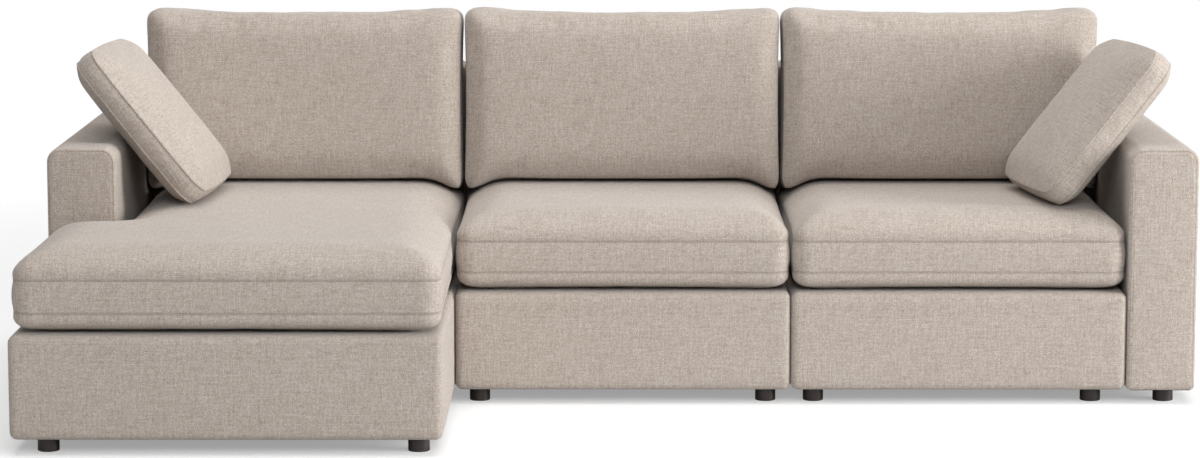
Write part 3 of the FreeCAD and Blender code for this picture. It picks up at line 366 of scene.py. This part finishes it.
class Grid:
    """Vertices and faces of one sewn piece, before they are given a shape."""

    def __init__(self, corners, fine, coarse, band_rows, closed=True):
        self.corners = [np.array(c, float) for c in corners]
        self.closed = closed
        stops_x = sorted({c[0] for c in corners})
        stops_y = sorted({c[1] for c in corners})
        self.xs = grid_lines(stops_x, fine, coarse)
        self.ys = grid_lines(stops_y, fine, coarse)
        mid_x = (self.xs[:-1] + self.xs[1:]) / 2
        mid_y = (self.ys[:-1] + self.ys[1:]) / 2
        self.kept = np.array([[self.within(x, y) for y in mid_y] for x in mid_x])
        self.loop = outline(self.kept)
        used = np.zeros((len(self.xs), len(self.ys)), bool)
        for di in (0, 1):
            for dj in (0, 1):
                used[di : di + len(mid_x), dj : dj + len(mid_y)] |= self.kept
        self.used = used
        count = int(used.sum())
        self.top = np.full(used.shape, -1)
        self.top[used] = np.arange(count)
        gx, gy = np.meshgrid(self.xs, self.ys, indexing="ij")
        plan = [np.stack([gx[used], gy[used]], 1)]
        part = [np.zeros(count)]
        down = [np.zeros(count)]
        self.rings = [np.array([self.top[p] for p in self.loop])]
        ring_plan = np.array([(self.xs[i], self.ys[j]) for i, j in self.loop])
        total = count
        for k in range(1, band_rows + (0 if closed else 1)):
            plan.append(ring_plan)
            part.append(np.ones(len(ring_plan)))
            down.append(np.full(len(ring_plan), k / band_rows))
            self.rings.append(total + np.arange(len(ring_plan)))
            total += len(ring_plan)
        if closed:
            self.bottom = np.full(used.shape, -1)
            self.bottom[used] = total + np.arange(count)
            plan.append(plan[0].copy())
            part.append(np.full(count, 2.0))
            down.append(np.ones(count))
            self.rings.append(np.array([self.bottom[p] for p in self.loop]))
        self.plan = np.concatenate(plan)
        self.part = np.concatenate(part)
        self.down = np.concatenate(down)
        self.on_edge = np.zeros(len(self.plan), bool)
        for ring in self.rings:
            self.on_edge[ring] = True

    def within(self, x, y):
        inside = False
        for a, b in zip(self.corners, self.corners[1:] + self.corners[:1]):
            if (a[1] > y) != (b[1] > y) and x < a[0]:
                inside = not inside
        return inside

    def sides(self):
        return list(zip(self.corners, self.corners[1:] + self.corners[:1]))

    def reach_in(self, plan):
        """Distance of each plan point from each side, and its place along it."""
        away, share = [], []
        for a, b in self.sides():
            run = b - a
            t = np.clip(((plan - a) @ run) / (run @ run), 0, 1)
            away.append(np.linalg.norm(plan - a - t[:, None] * run, axis=1))
            share.append(t)
        return np.array(away), np.array(share)

    def rounded(self, plan, radius):
        """Square corners of the plan pulled in to arcs."""
        plan = plan.copy()
        count = len(self.corners)
        for i, corner in enumerate(self.corners):
            back = self.corners[i - 1] - corner
            ahead = self.corners[(i + 1) % count] - corner
            back, ahead = back / np.linalg.norm(back), ahead / np.linalg.norm(ahead)
            turn = back[0] * ahead[1] - back[1] * ahead[0]
            if turn > 0:
                continue
            a, b = (plan - corner) @ ahead, (plan - corner) @ back
            near = (a < radius) & (b < radius) & (a > -1e-9) & (b > -1e-9)
            pa, pb = radius - a[near], radius - b[near]
            norm = np.maximum(np.hypot(pa, pb), 1e-12)
            shrink = np.maximum(pa, pb) / norm
            new_a, new_b = radius - pa * shrink, radius - pb * shrink
            plan[near] = corner + new_a[:, None] * ahead + new_b[:, None] * back
        return plan

    def drawn(self, plan, depth):
        """Sides of the plan drawn in at their middles."""
        away, share = self.reach_in(self.plan)
        moved = plan.copy()
        for (a, b), d, t in zip(self.sides(), away, share):
            run = (b - a) / np.linalg.norm(b - a)
            inward = np.array([-run[1], run[0]])
            weight = np.clip(1 - d / DRAW_REACH, 0, 1) * 4 * t * (1 - t)
            moved += inward * (depth * weight)[:, None]
        return moved

    def ring_normals(self, plan):
        """Outward normals of the outline in plan, for the vertices on it."""
        normals = np.zeros_like(plan)
        for ring in self.rings:
            run = plan[np.roll(ring, -1)] - plan[np.roll(ring, 1)]
            out = np.stack([run[:, 1], -run[:, 0]], 1)
            normals[ring] = out / np.maximum(np.linalg.norm(out, axis=1), 1e-12)[:, None]
        return normals

    def faces(self):
        quads, kinds = [], []
        for i, j in zip(*np.nonzero(self.kept)):
            square = ((i, j), (i + 1, j), (i + 1, j + 1), (i, j + 1))
            quads.append([self.top[p] for p in square])
            kinds.append(0)
            if self.closed:
                quads.append([self.bottom[p] for p in square[::-1]])
                kinds.append(2)
        for upper, lower in zip(self.rings, self.rings[1:]):
            for a in range(len(upper)):
                b = (a + 1) % len(upper)
                quads.append([lower[a], lower[b], upper[b], upper[a]])
                kinds.append(1)
        return quads, kinds

    def panel_uv(self, index, co, middle):
        """Flat cloth coordinates of a grid panel: lengths along its rows and columns."""
        flat = np.full(self.used.shape + (3,), np.nan)
        flat[self.used] = co[index[self.used]]
        i0 = int(np.argmin(abs(self.xs - middle[0])))
        j0 = int(np.argmin(abs(self.ys - middle[1])))
        u, v = np.zeros(self.used.shape), np.zeros(self.used.shape)
        step_u = np.nan_to_num(np.linalg.norm(np.diff(flat, axis=0), axis=2))
        step_v = np.nan_to_num(np.linalg.norm(np.diff(flat, axis=1), axis=2))
        for i in range(i0, len(self.xs) - 1):
            u[i + 1] = u[i] + step_u[i]
        for i in range(i0, 0, -1):
            u[i - 1] = u[i] - step_u[i - 1]
        for j in range(j0, len(self.ys) - 1):
            v[:, j + 1] = v[:, j] + step_v[:, j]
        for j in range(j0, 0, -1):
            v[:, j - 1] = v[:, j] - step_v[:, j - 1]
        out = np.zeros((len(co), 2))
        out[index[self.used]] = np.stack([u, v], 2)[self.used]
        return out

    def seam_distance(self, co):
        """Length along the cloth from each vertex to the nearest seam."""
        away, _ = self.reach_in(self.plan)
        out = away.min(0)
        for ring_pair in (0, -1):
            edge = co[self.rings[ring_pair]]
            for ring in self.rings[1:-1]:
                gap = np.linalg.norm(co[ring] - edge, axis=1)
                out[ring] = gap if ring_pair == 0 else np.minimum(out[ring], gap)
        return out


def mesh_object(name, co, quads):
    mesh = bpy.data.meshes.new(name)
    mesh.from_pydata(co.tolist(), [], quads)
    mesh.update()
    mesh.polygons.foreach_set("use_smooth", [True] * len(mesh.polygons))
    piece = bpy.data.objects.new(name, mesh)
    scene.collection.objects.link(piece)
    return piece


def cloth_map(piece, grid, local, kinds, middle):
    """Cloth coordinates in metres for every face corner, and the distance from the seams."""
    mesh = piece.data
    tops = grid.panel_uv(grid.top, local, middle)
    lows = grid.panel_uv(grid.bottom, local, middle) if grid.closed else tops
    ring = grid.rings[0]
    steps = np.linalg.norm(local[np.roll(ring, -1)] - local[ring], axis=1)
    along = np.concatenate([[0], np.cumsum(steps)])
    heights = [0.0]
    for upper, lower in zip(grid.rings, grid.rings[1:]):
        heights.append(heights[-1] - float(np.median(np.linalg.norm(local[upper] - local[lower], axis=1))))
    layer = mesh.uv_layers.new(name="cloth")
    uv = np.zeros((len(mesh.loops), 2))
    corner = np.array([loop.vertex_index for loop in mesh.loops])
    starts = np.array([p.loop_start for p in mesh.polygons])
    kinds = np.array(kinds)
    for kind, source in ((0, tops), (2, lows)):
        for k in range(4):
            at = starts[kinds == kind] + k
            uv[at] = source[corner[at]]
    band = starts[kinds == 1]
    count = len(ring)
    row = np.repeat(np.arange(len(grid.rings) - 1), count)
    place = np.tile(np.arange(count), len(grid.rings) - 1)
    heights = np.array(heights)
    for k, (step, low) in enumerate(((0, 1), (1, 1), (1, 0), (0, 0))):
        uv[band + k] = np.stack([along[place + step], heights[row + low]], 1)
    layer.data.foreach_set("uv", uv.astype(np.float32).ravel())
    seam = mesh.attributes.new("seam_distance", "FLOAT", "POINT")
    seam.data.foreach_set("value", grid.seam_distance(local).astype(np.float32))


def dome(share, power=2.0):
    """Height of a quarter round, 0 to 1, over the distance in from its edge; fuller as power grows."""
    return (1 - (1 - np.clip(share, 0, 1)) ** power) ** (1 / power)


def drift(co, seed):
    """Smooth noise at each point, about -1 to 1."""
    offset = Vector((seed * 7.1, seed * 3.3, seed * 5.7))
    return np.array([noise.noise(Vector(p) + offset) for p in co])


def cushion_shape(grid, thick, low, high, reach_low, reach_high, corner, draw, pinch, power):
    """The crowned form: seams at low and high, crowns beyond them, a band between."""
    away, _ = grid.reach_in(grid.plan)
    plan = grid.rounded(grid.plan, corner)
    plan = grid.drawn(plan, draw)
    normal = grid.ring_normals(plan)
    tops, lows = grid.part == 0, grid.part == 2
    z = high + (low - high) * grid.down
    for chosen, reach, height in ((tops, reach_high, thick - high), (lows, reach_low, -low)):
        share = dome(away / reach, power)
        crown = (1 - pinch) * share.min(0) + pinch * share.prod(0)
        z[chosen] += height * crown[chosen]
    swell = BAND_BULGE * (np.sin(np.pi * grid.down) - 1)
    edge = grid.on_edge
    plan[edge] += normal[edge] * swell[edge][:, None]
    ends = edge & ((grid.down == 0) | (grid.down == 1))
    plan[ends] -= normal[ends] * SEAM_DEPTH
    return np.column_stack([plan, z])


def local_box(nodes, rotation):
    """Lowest and highest corner of CAD nodes in a turned frame."""
    turned = np.array(rotation.to_3x3())
    co = []
    for name in nodes:
        co += [v.co for v in frame["nodes"][name].data.vertices]
    co = np.array(co) @ turned
    return co.min(0), co.max(0)


def fitted(co, low, high, clear):
    """The points scaled so that their box is the given one, less a small clearance."""
    have_low, have_high = co.min(0), co.max(0)
    want_low, want_high = low + clear, high - clear
    return want_low + (co - have_low) / (have_high - have_low) * (want_high - want_low)


class Soft:
    """One loose cushion on its way from a plain form to a stuffed one."""

    def __init__(self, name, rotation, swell, middle=None, corners=None, coarse=0.013, **form):
        self.name, self.rotation, self.swell = name, rotation, swell
        self.nodes = [name + end for end in ("_cover", "_core", "_zip")]
        self.low, self.high = local_box(self.nodes, rotation)
        if corners is None:
            x0, y0 = self.low[:2]
            x1, y1 = self.high[:2]
            corners = [(x0, y0), (x1, y0), (x1, y1), (x0, y1)]
        self.middle = middle or ((self.low[0] + self.high[0]) / 2, (self.low[1] + self.high[1]) / 2)
        self.grid = Grid(corners, EDGE_STEP, coarse, BAND_ROWS)
        thick = self.high[2] - self.low[2]
        self.co = cushion_shape(self.grid, thick, **form)
        self.co[:, 2] += self.low[2]
        self.quads, self.kinds = self.grid.faces()

    def to_world(self, co):
        return co @ np.array(self.rotation.to_3x3()).T

    def to_local(self, co):
        return co @ np.array(self.rotation.to_3x3())


def stuff(softs):
    """Inflates every cushion with Blender's cloth, seams held short so that the panels pucker."""
    for soft in softs:
        piece = mesh_object(soft.name + "_stuffing", soft.co, soft.quads)
        group = piece.vertex_groups.new(name="shrink")
        distance = soft.grid.seam_distance(soft.co)
        for index, d in enumerate(distance):
            group.add([index], float(np.clip(1 - d / SHORT_REACH, 0, 1)), "REPLACE")
        cloth = piece.modifiers.new("cloth", "CLOTH")
        settings = cloth.settings
        settings.quality = 6
        settings.mass = 0.25
        settings.tension_stiffness = 12
        settings.compression_stiffness = 12
        settings.shear_stiffness = 4
        settings.bending_stiffness = 0.4
        settings.use_pressure = True
        settings.uniform_pressure_force = 4
        settings.effector_weights.gravity = 0
        settings.vertex_group_shrink = "shrink"
        settings.shrink_min = -0.010
        settings.shrink_max = 0.010
        cloth.collision_settings.use_collision = False
        soft.piece = piece
    for step in range(1, STUFF_FRAMES + 1):
        scene.frame_set(step)
    graph = bpy.context.evaluated_depsgraph_get()
    for soft in softs:
        result = soft.piece.evaluated_get(graph).to_mesh()
        moved = np.zeros(len(result.vertices) * 3)
        result.vertices.foreach_get("co", moved)
        shift = moved.reshape(-1, 3) - soft.co
        length = np.linalg.norm(shift, axis=1)
        shift *= (np.minimum(length, soft.swell) / np.maximum(length, 1e-9))[:, None]
        soft.co = soft.co + shift
        bpy.data.objects.remove(soft.piece)
    scene.frame_set(1)


SEAT = dict(
    low=SEAT_LOW,
    high=SEAT_HIGH,
    reach_low=0.045,
    reach_high=0.135,
    corner=0.042,
    draw=0.002,
    pinch=0.12,
    power=2.35,
)
BACK = dict(
    low=BACK_CROWN,
    high=BACK_CROWN + 0.135,
    reach_low=0.12,
    reach_high=0.12,
    corner=0.036,
    draw=0.005,
    pinch=0.15,
    power=2.8,
)
PILLOW = dict(
    low=PILLOW_CROWN,
    high=PILLOW_CROWN + 0.048,
    reach_low=0.235,
    reach_high=0.235,
    corner=0.055,
    draw=-0.010,
    pinch=0.15,
    power=1.62,
)

level = Matrix.Identity(4)
upright = Matrix.Rotation(math.pi / 2 - BACK_TILT, 4, "X")


def leaning(name):
    """How a pillow lies against its arm: leaning back on it and turned a little."""
    way = -1 if name == "left_pillow" else 1
    lean = math.pi - PILLOW_LEAN if way < 0 else PILLOW_LEAN
    return Matrix.Rotation(way * PILLOW_TURN[name], 4, "Z") @ Matrix.Rotation(-lean, 4, "Y")


softs = {}
chaise_low, chaise_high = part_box("chaise_cushion_cover")
arm_low, arm_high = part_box("left_arm_cover")
notch_x, notch_y = arm_high.x + 0.0003, arm_low.y - 0.004
chaise_corners = [
    (chaise_low.x, chaise_low.y),
    (chaise_high.x, chaise_low.y),
    (chaise_high.x, chaise_high.y),
    (notch_x, chaise_high.y),
    (notch_x, notch_y),
    (chaise_low.x, notch_y),
]
softs["chaise_cushion"] = Soft(
    "chaise_cushion",
    level,
    SEAT_SWELL,
    middle=((notch_x + chaise_high.x) / 2, (chaise_low.y + notch_y) / 2),
    corners=chaise_corners,
    **SEAT
)
for name in ("middle_seat_cushion", "right_seat_cushion"):
    softs[name] = Soft(name, level, SEAT_SWELL, **SEAT)
for name in ("left_back_cushion", "middle_back_cushion", "right_back_cushion"):
    softs[name] = Soft(name, upright, BACK_SWELL, **BACK)
for name in ("left_pillow", "right_pillow"):
    softs[name] = Soft(name, leaning(name), PILLOW_SWELL, coarse=0.010, **PILLOW)

stuff(list(softs.values()))


def ruffled(soft):
    """The slightly wavy top edge of a back cushion."""
    x, y, z = soft.co.T
    near_top = np.clip((y - soft.high[1] + RUFFLE_REACH) / RUFFLE_REACH, 0, 1)
    seed = len(soft.name)
    wave = drift(np.column_stack([x * 16, z * 9, 0 * z]), seed)
    fine = drift(np.column_stack([x * 40, z * 25, 0 * z]), seed + 3)
    soft.co = np.column_stack([x, y + near_top * (0.0030 * wave + 0.0012 * fine), z])


def settled(soft, seat):
    """A back cushion's lower part let down until its underside lies on the crowned seat."""
    world_co = soft.to_world(soft.co)
    away, _ = soft.grid.reach_in(soft.grid.plan[soft.grid.rings[0]])
    under = [v for row in soft.grid.rings[1:-1] for v in row[away[0] < 1e-6]]
    gaps = {}
    for v in under:
        place = seat.ray_cast(Vector(world_co[v]) + Vector((0, 0, 0.2)), Vector((0, 0, -1)))[0]
        if place is not None:
            key = round(soft.grid.plan[v][0], 6)
            gaps[key] = min(gaps.get(key, 1.0), world_co[v][2] - place.z)
    stops = np.array(sorted(gaps))
    drop = np.clip(np.array([gaps[k] for k in stops]) - CONTACT, 0, SETTLE_MOST)
    drop = np.convolve(np.pad(drop, 2, mode="edge"), np.ones(5) / 5, mode="valid")
    x, y, z = soft.co.T
    near_low = np.clip(1 - (y - soft.low[1]) / SETTLE_REACH, 0, 1) ** 1.5
    soft.co = np.column_stack([x, y - np.interp(soft.grid.plan[:, 0], stops, drop) * near_low, z])


def pushed_out(co, surface, clear):
    """Points that lie inside another surface, or nearer than clear, moved out along its normal."""
    co = co.copy()
    for index, point in enumerate(co):
        place, normal, _, _ = surface.find_nearest(Vector(point), PUSH_REACH)
        if place is None:
            continue
        depth = (Vector(point) - place).dot(normal)
        if depth < clear:
            co[index] = np.array(Vector(point) + normal * (clear - depth))
    return co


def tree_of(co, quads):
    return BVHTree.FromPolygons([Vector(p) for p in co], quads)


def unit(rows):
    """Each row scaled to length one."""
    return rows / np.maximum(np.linalg.norm(rows, axis=1), 1e-12)[:, None]


def zip_strip(soft, world_co, side):
    """The zip along the middle of one side of the band, a flat strip tucked in at its edges."""
    middle = BAND_ROWS // 2
    upper, ring, lower = soft.grid.rings[middle - 1 : middle + 2]
    away, share = soft.grid.reach_in(soft.grid.plan[ring])
    inner = abs(share[side] - 0.5) < 0.5 - ZIP_MARGIN
    chosen = np.nonzero((away[side] < 1e-6) & inner)[0]
    chosen = chosen[np.argsort(share[side][chosen])]
    line = world_co[ring[chosen]]
    up = unit(world_co[upper[chosen]] - world_co[lower[chosen]])
    out = unit(np.cross(np.gradient(line, axis=0), up))
    rows = [line + up * aside + out * lift for aside, lift in ZIP_PROFILE]
    count = len(chosen)
    quads = [
        [k * count + i, (k + 1) * count + i, (k + 1) * count + i + 1, k * count + i + 1]
        for k in range(len(rows) - 1)
        for i in range(count - 1)
    ]
    strip = mesh_object(soft.name + "_zip_strip", np.concatenate(rows), quads)
    strip.data.materials.append(materials["zip"])
    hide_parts(soft.nodes[2])
    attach(strip, soft.name)


def rested(name, world_co, under):
    """A pillow moved off its arm a little and let down until it lies on what is below it."""
    way = 1 if name == "left_pillow" else -1
    world_co = world_co + (way * PILLOW_ASIDE, 0, 0)
    gap = PILLOW_DROP
    for point in world_co:
        for tree in under:
            hit = tree.ray_cast(Vector(point) + Vector((0, 0, 0.0005)), Vector((0, 0, -1)))[0]
            if hit is not None:
                gap = min(gap, point[2] - hit.z - CONTACT)
    return world_co - (0, 0, max(gap, 0))


def node_tree(name):
    mesh = frame["nodes"][name].data
    return BVHTree.FromPolygons([v.co for v in mesh.vertices], [p.vertices for p in mesh.polygons])


UNDER = {
    "left_back_cushion": ["chaise_cushion"],
    "middle_back_cushion": ["middle_seat_cushion"],
    "right_back_cushion": ["right_seat_cushion"],
    "left_pillow": ["chaise_cushion", "left_back_cushion"],
    "right_pillow": ["right_seat_cushion", "right_back_cushion"],
}
for name, soft in softs.items():
    soft.co = fitted(soft.co, soft.low, soft.high, CLEAR)
    if "back_cushion" in name:
        ruffled(soft)
        settled(soft, softs[UNDER[name][0]].tree)
    world_co = soft.to_world(soft.co)
    if "pillow" in name:
        below = [softs[other].tree for other in UNDER[name]]
        below.append(node_tree(name.replace("pillow", "arm_cover")))
        world_co = rested(name, world_co, below)
    for other in UNDER.get(name, []):
        world_co = pushed_out(world_co, softs[other].tree, CONTACT)
    soft.co = soft.to_local(world_co)
    soft.tree = tree_of(world_co, soft.quads)
    piece = mesh_object(name, world_co, soft.quads)
    cloth_map(piece, soft.grid, soft.co, soft.kinds, soft.middle)
    smooth = piece.modifiers.new("smooth", "SUBSURF")
    smooth.levels = smooth.render_levels = 1
    piece.data.materials.append(materials["cushion_fabric"])
    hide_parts(*soft.nodes[:2])
    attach(piece, name)
    zip_strip(soft, world_co, 0 if "back_cushion" in name else 2)


# Upholstered boxes: bases and backs


def upholstered_box(node):
    """The cloth of a base or back in place of its cover: a box with rounded edges, open below."""
    name, radius = node.replace("_cover", "_upholstery"), BOX_ROUND
    low, high = (np.array(p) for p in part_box(node))
    low, high = low + (CLEAR, CLEAR, 0), high - CLEAR
    corners = [(low[0], low[1]), (high[0], low[1]), (high[0], high[1]), (low[0], high[1])]
    grid = Grid(corners, radius / 30, BOX_PANEL_STEP, BOX_ROWS, closed=False)
    away, _ = grid.reach_in(grid.plan)
    plan = grid.rounded(grid.plan, radius)
    normal = grid.ring_normals(plan)
    z = np.zeros(len(plan))
    tops = grid.part == 0
    nearest = away.min(0)
    z[tops] = high[2] - radius + radius * dome(nearest / radius)[tops]
    puff = BOX_PUFF * np.clip((nearest - radius) / BOX_PUFF_REACH, 0, 1)
    z[tops] += puff[tops] - BOX_SINK
    for k, ring in enumerate(grid.rings):
        if k <= BOX_STRAIGHT_ROWS:
            height = high[2] - radius + (low[2] - high[2] + 2 * radius) * k / BOX_STRAIGHT_ROWS
            inset = 0.0
        else:
            turn = (k - BOX_STRAIGHT_ROWS) / (BOX_ROWS - BOX_STRAIGHT_ROWS) * math.pi / 2
            height = low[2] + radius - radius * math.sin(turn)
            inset = radius * (1 - math.cos(turn))
        z[ring] = height
        plan[ring] -= normal[ring] * inset
    co = np.column_stack([plan, z])
    quads, kinds = grid.faces()
    piece = mesh_object(name, co, quads)
    middle = ((low[0] + high[0]) / 2, (low[1] + high[1]) / 2)
    cloth_map(piece, grid, co, kinds, middle)
    seam = piece.data.attributes["seam_distance"]
    seam.data.foreach_set("value", np.full(len(co), 1.0, np.float32))
    smooth = piece.modifiers.new("smooth", "SUBSURF")
    smooth.levels = smooth.render_levels = 1
    piece.data.materials.append(materials["base_fabric"])
    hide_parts(node)
    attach(piece, "sofa_frame")


for part in ("chaise_base", "left_seat_base", "middle_seat_base", "right_seat_base"):
    upholstered_box(part + "_cover")
for part in ("left_back", "middle_back", "right_back"):
    upholstered_box(part + "_cover")


def arm_outline(low, high):
    """Outline of an arm's end, counter-clockwise from the front, with outward normals."""
    points, normals = [], []

    def arc(cx, cz, radius, start):
        for k in range(9):
            turn = math.radians(start + 90 * k / 8)
            normal = (math.cos(turn), math.sin(turn))
            points.append((cx + radius * normal[0], cz + radius * normal[1]))
            normals.append(normal)

    def straight(end):
        begin = points[-1]
        count = max(1, round(math.dist(begin, end) / 0.03))
        for k in range(1, count):
            points.append(tuple(b + (e - b) * k / count for b, e in zip(begin, end)))
            normals.append(normals[-1])

    x0, x1, z0, z1 = low[0], high[0], low[2], high[2]
    r, t = ARM_LOW_ROUND, ARM_TOP_ROUND
    arc(x1 - r, z0 + r, r, -90)
    straight((x1, z1 - t))
    arc(x1 - t, z1 - t, t, 0)
    straight((x0 + t, z1))
    arc(x0 + t, z1 - t, t, 90)
    straight((x0, z0 + r))
    arc(x0 + r, z0 + r, r, 180)
    straight((x1 - r, z0))
    return np.array(points), np.array(normals)


# From the front seam to the side: distance in from the side, and distance back from the front
ARM_END = [
    (0.0104, 0.0001),
    (0.0080, 0.0004),
    (ARM_SEAM_INSET, 0.0011),
    (0.0054, 0.0007),
    (0.0034, 0.0017),
    (0.0016, 0.0034),
    (0.0004, 0.0062),
    (0.0000, 0.0100),
]
# Rings of the flat front, as shares of the way from its middle line to the seam
ARM_CAP = (0.0, 0.2, 0.4, 0.6, 0.8, 0.93)


def upholstered_arm(node):
    """The cloth of an arm in place of its cover: two sewn-in ends and a skin round the outline."""
    name = node.replace("_cover", "_upholstery")
    low, high = (np.array(p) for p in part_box(node))
    low, high = low + CLEAR, high - CLEAR
    points, normals = arm_outline(low, high)
    half = (high[0] - low[0]) / 2
    spine = np.column_stack(
        [np.full(len(points), low[0] + half), np.clip(points[:, 1], low[2] + half, high[2] - half)]
    )
    rows, seam = [], []
    inner = points - normals * ARM_END[0][0]
    for share in ARM_CAP:
        rows.append((spine + (inner - spine) * share, low[1] - 0.002 * (1 - share**2)))
        seam.append(0.05)
    for inset, depth in ARM_END:
        rows.append((points - normals * inset, low[1] + depth))
        seam.append(abs(inset - ARM_SEAM_INSET) if depth < 0.006 else 0.02)
    span = high[1] - low[1] - 0.02
    count = round(span / ARM_PANEL_STEP)
    for k in range(1, count):
        rows.append((points, low[1] + 0.01 + span * k / count))
        seam.append(1.0)
    for inset, depth in ARM_END[::-1]:
        rows.append((points - normals * inset, high[1] - depth))
        seam.append(abs(inset - ARM_SEAM_INSET) if depth < 0.006 else 0.02)
    for share in ARM_CAP[::-1]:
        rows.append((spine + (inner - spine) * share, high[1] + 0.002 * (1 - share**2)))
        seam.append(0.05)
    around = len(points)
    co = np.concatenate([np.column_stack([p[:, 0], np.full(around, y), p[:, 1]]) for p, y in rows])
    quads, kinds = [], []
    cap = len(ARM_CAP) + 3
    for k in range(len(rows) - 1):
        for a in range(around):
            b = (a + 1) % around
            quad = [k * around + a, k * around + b, (k + 1) * around + b, (k + 1) * around + a]
            mid = co[quad].mean(0)
            under = mid[2] < low[2] + 0.0005 and low[0] + 0.012 < mid[0] < high[0] - 0.012
            if under and low[1] + 0.009 < mid[1] < high[1] - 0.009:
                continue
            quads.append(quad)
            kinds.append((k, a, cap <= k < len(rows) - 1 - cap))
    piece = mesh_object(name, co, quads)
    mesh = piece.data
    lengths = np.concatenate([[0], np.cumsum(np.linalg.norm(np.roll(points, -1, 0) - points, axis=1))])
    layer = mesh.uv_layers.new(name="cloth")
    uv = []
    for (k, a, strip), quad in zip(kinds, quads):
        for index, (step, row) in zip(quad, ((0, k), (1, k), (1, k + 1), (0, k + 1))):
            if strip:
                uv += [lengths[a + step], co[index][1]]
            else:
                uv += [co[index][0], co[index][2]]
    layer.data.foreach_set("uv", np.array(uv, np.float32))
    attribute = mesh.attributes.new("seam_distance", "FLOAT", "POINT")
    attribute.data.foreach_set("value", np.repeat(seam, around).astype(np.float32))
    # The two end caps close along their spines
    weld = piece.modifiers.new("weld", "WELD")
    weld.merge_threshold = 0.0002
    smooth = piece.modifiers.new("smooth", "SUBSURF")
    smooth.levels = smooth.render_levels = 1
    mesh.materials.append(materials["base_fabric"])
    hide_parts(node)
    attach(piece, "sofa_frame")


for node in ("left_arm_cover", "right_arm_cover"):
    upholstered_arm(node)


# Studio


def make_floor():
    """A pale floor that keeps the soft shadow near the sofa and turns white further out."""
    material, n = new_material("studio_floor")
    path = n.add("ShaderNodeLightPath").outputs["Is Camera Ray"]
    paint = n.add("ShaderNodeBsdfDiffuse", {"Color": (0.72, 0.72, 0.72, 1)}).outputs[0]
    glow = n.add("ShaderNodeEmission", {"Color": (1, 1, 1, 1), "Strength": n.math("MULTIPLY", path, 0.34)})
    both = n.add("ShaderNodeAddShader", {0: paint, 1: glow.outputs[0]}).outputs[0]
    white = n.add("ShaderNodeEmission", {"Color": (1, 1, 1, 1), "Strength": 1.0}).outputs[0]
    place = n.add("ShaderNodeTexCoord").outputs["Object"]
    away = n.add("ShaderNodeVectorMath", {0: place}, operation="LENGTH").outputs["Value"]
    far = n.math("MULTIPLY", n.smooth(away, 2.6, 4.6), path)
    out = n.add("ShaderNodeOutputMaterial")
    n.feed(out.inputs[0], n.add("ShaderNodeMixShader", {0: far, 1: both, 2: white}).outputs[0])
    size = 40.0
    corners = np.array([(-size, -size, 0), (size, -size, 0), (size, size, 0), (-size, size, 0)])
    piece = mesh_object("floor", corners, [[0, 1, 2, 3]])
    piece.data.materials.append(material)


def lamp(name, place, target, size, energy):
    data = bpy.data.lights.new(name, "AREA")
    data.shape = "RECTANGLE"
    data.size, data.size_y = size
    data.energy = energy
    obj = bpy.data.objects.new(name, data)
    obj.location = place
    obj.rotation_mode = "QUATERNION"
    obj.rotation_quaternion = (Vector(target) - Vector(place)).to_track_quat("-Z", "Y")
    scene.collection.objects.link(obj)


make_floor()
lamp("side_softbox", (8.0, -2.5, 2.0), (0.0, 0.0, 0.5), (3.0, 3.0), 611)
lamp("corner_softbox", (7.5, -5.0, 4.5), (0.0, 0.0, 0.5), (4.0, 4.0), 110)
lamp("front_softbox", (0.5, -9.0, 4.5), (0.0, 0.0, 0.5), (5.0, 3.0), 335)
lamp("top_softbox", (0.0, 0.5, 5.5), (0.0, 0.0, 0.5), (6.0, 5.0), 250)

world = bpy.data.worlds.new("studio")
world.use_nodes = True
scene.world = world
w = Nodes(world)
rays = w.add("ShaderNodeLightPath")
seen = w.math("MAXIMUM", rays.outputs["Is Camera Ray"], rays.outputs["Is Glossy Ray"])
seen = w.math("MAXIMUM", seen, rays.outputs["Is Transmission Ray"])
strength = w.math("MULTIPLY_ADD", seen, 1 - AMBIENT, AMBIENT)
sky = w.add("ShaderNodeBackground", {"Color": (1, 1, 1, 1), "Strength": strength})
w.feed(w.add("ShaderNodeOutputWorld").inputs[0], sky.outputs[0])

camera = bpy.data.objects.new("camera", bpy.data.cameras.new("camera"))
camera.data.sensor_width = 36
camera.data.lens = 108.69
camera.location = (-0.038, -9.0665, 1.6753)
camera.rotation_euler = (math.pi / 2 - 0.1375, 0, 0.0021)
camera.data.clip_end = 100
scene.collection.objects.link(camera)
scene.camera = camera
scene.view_settings.view_transform = "Standard"
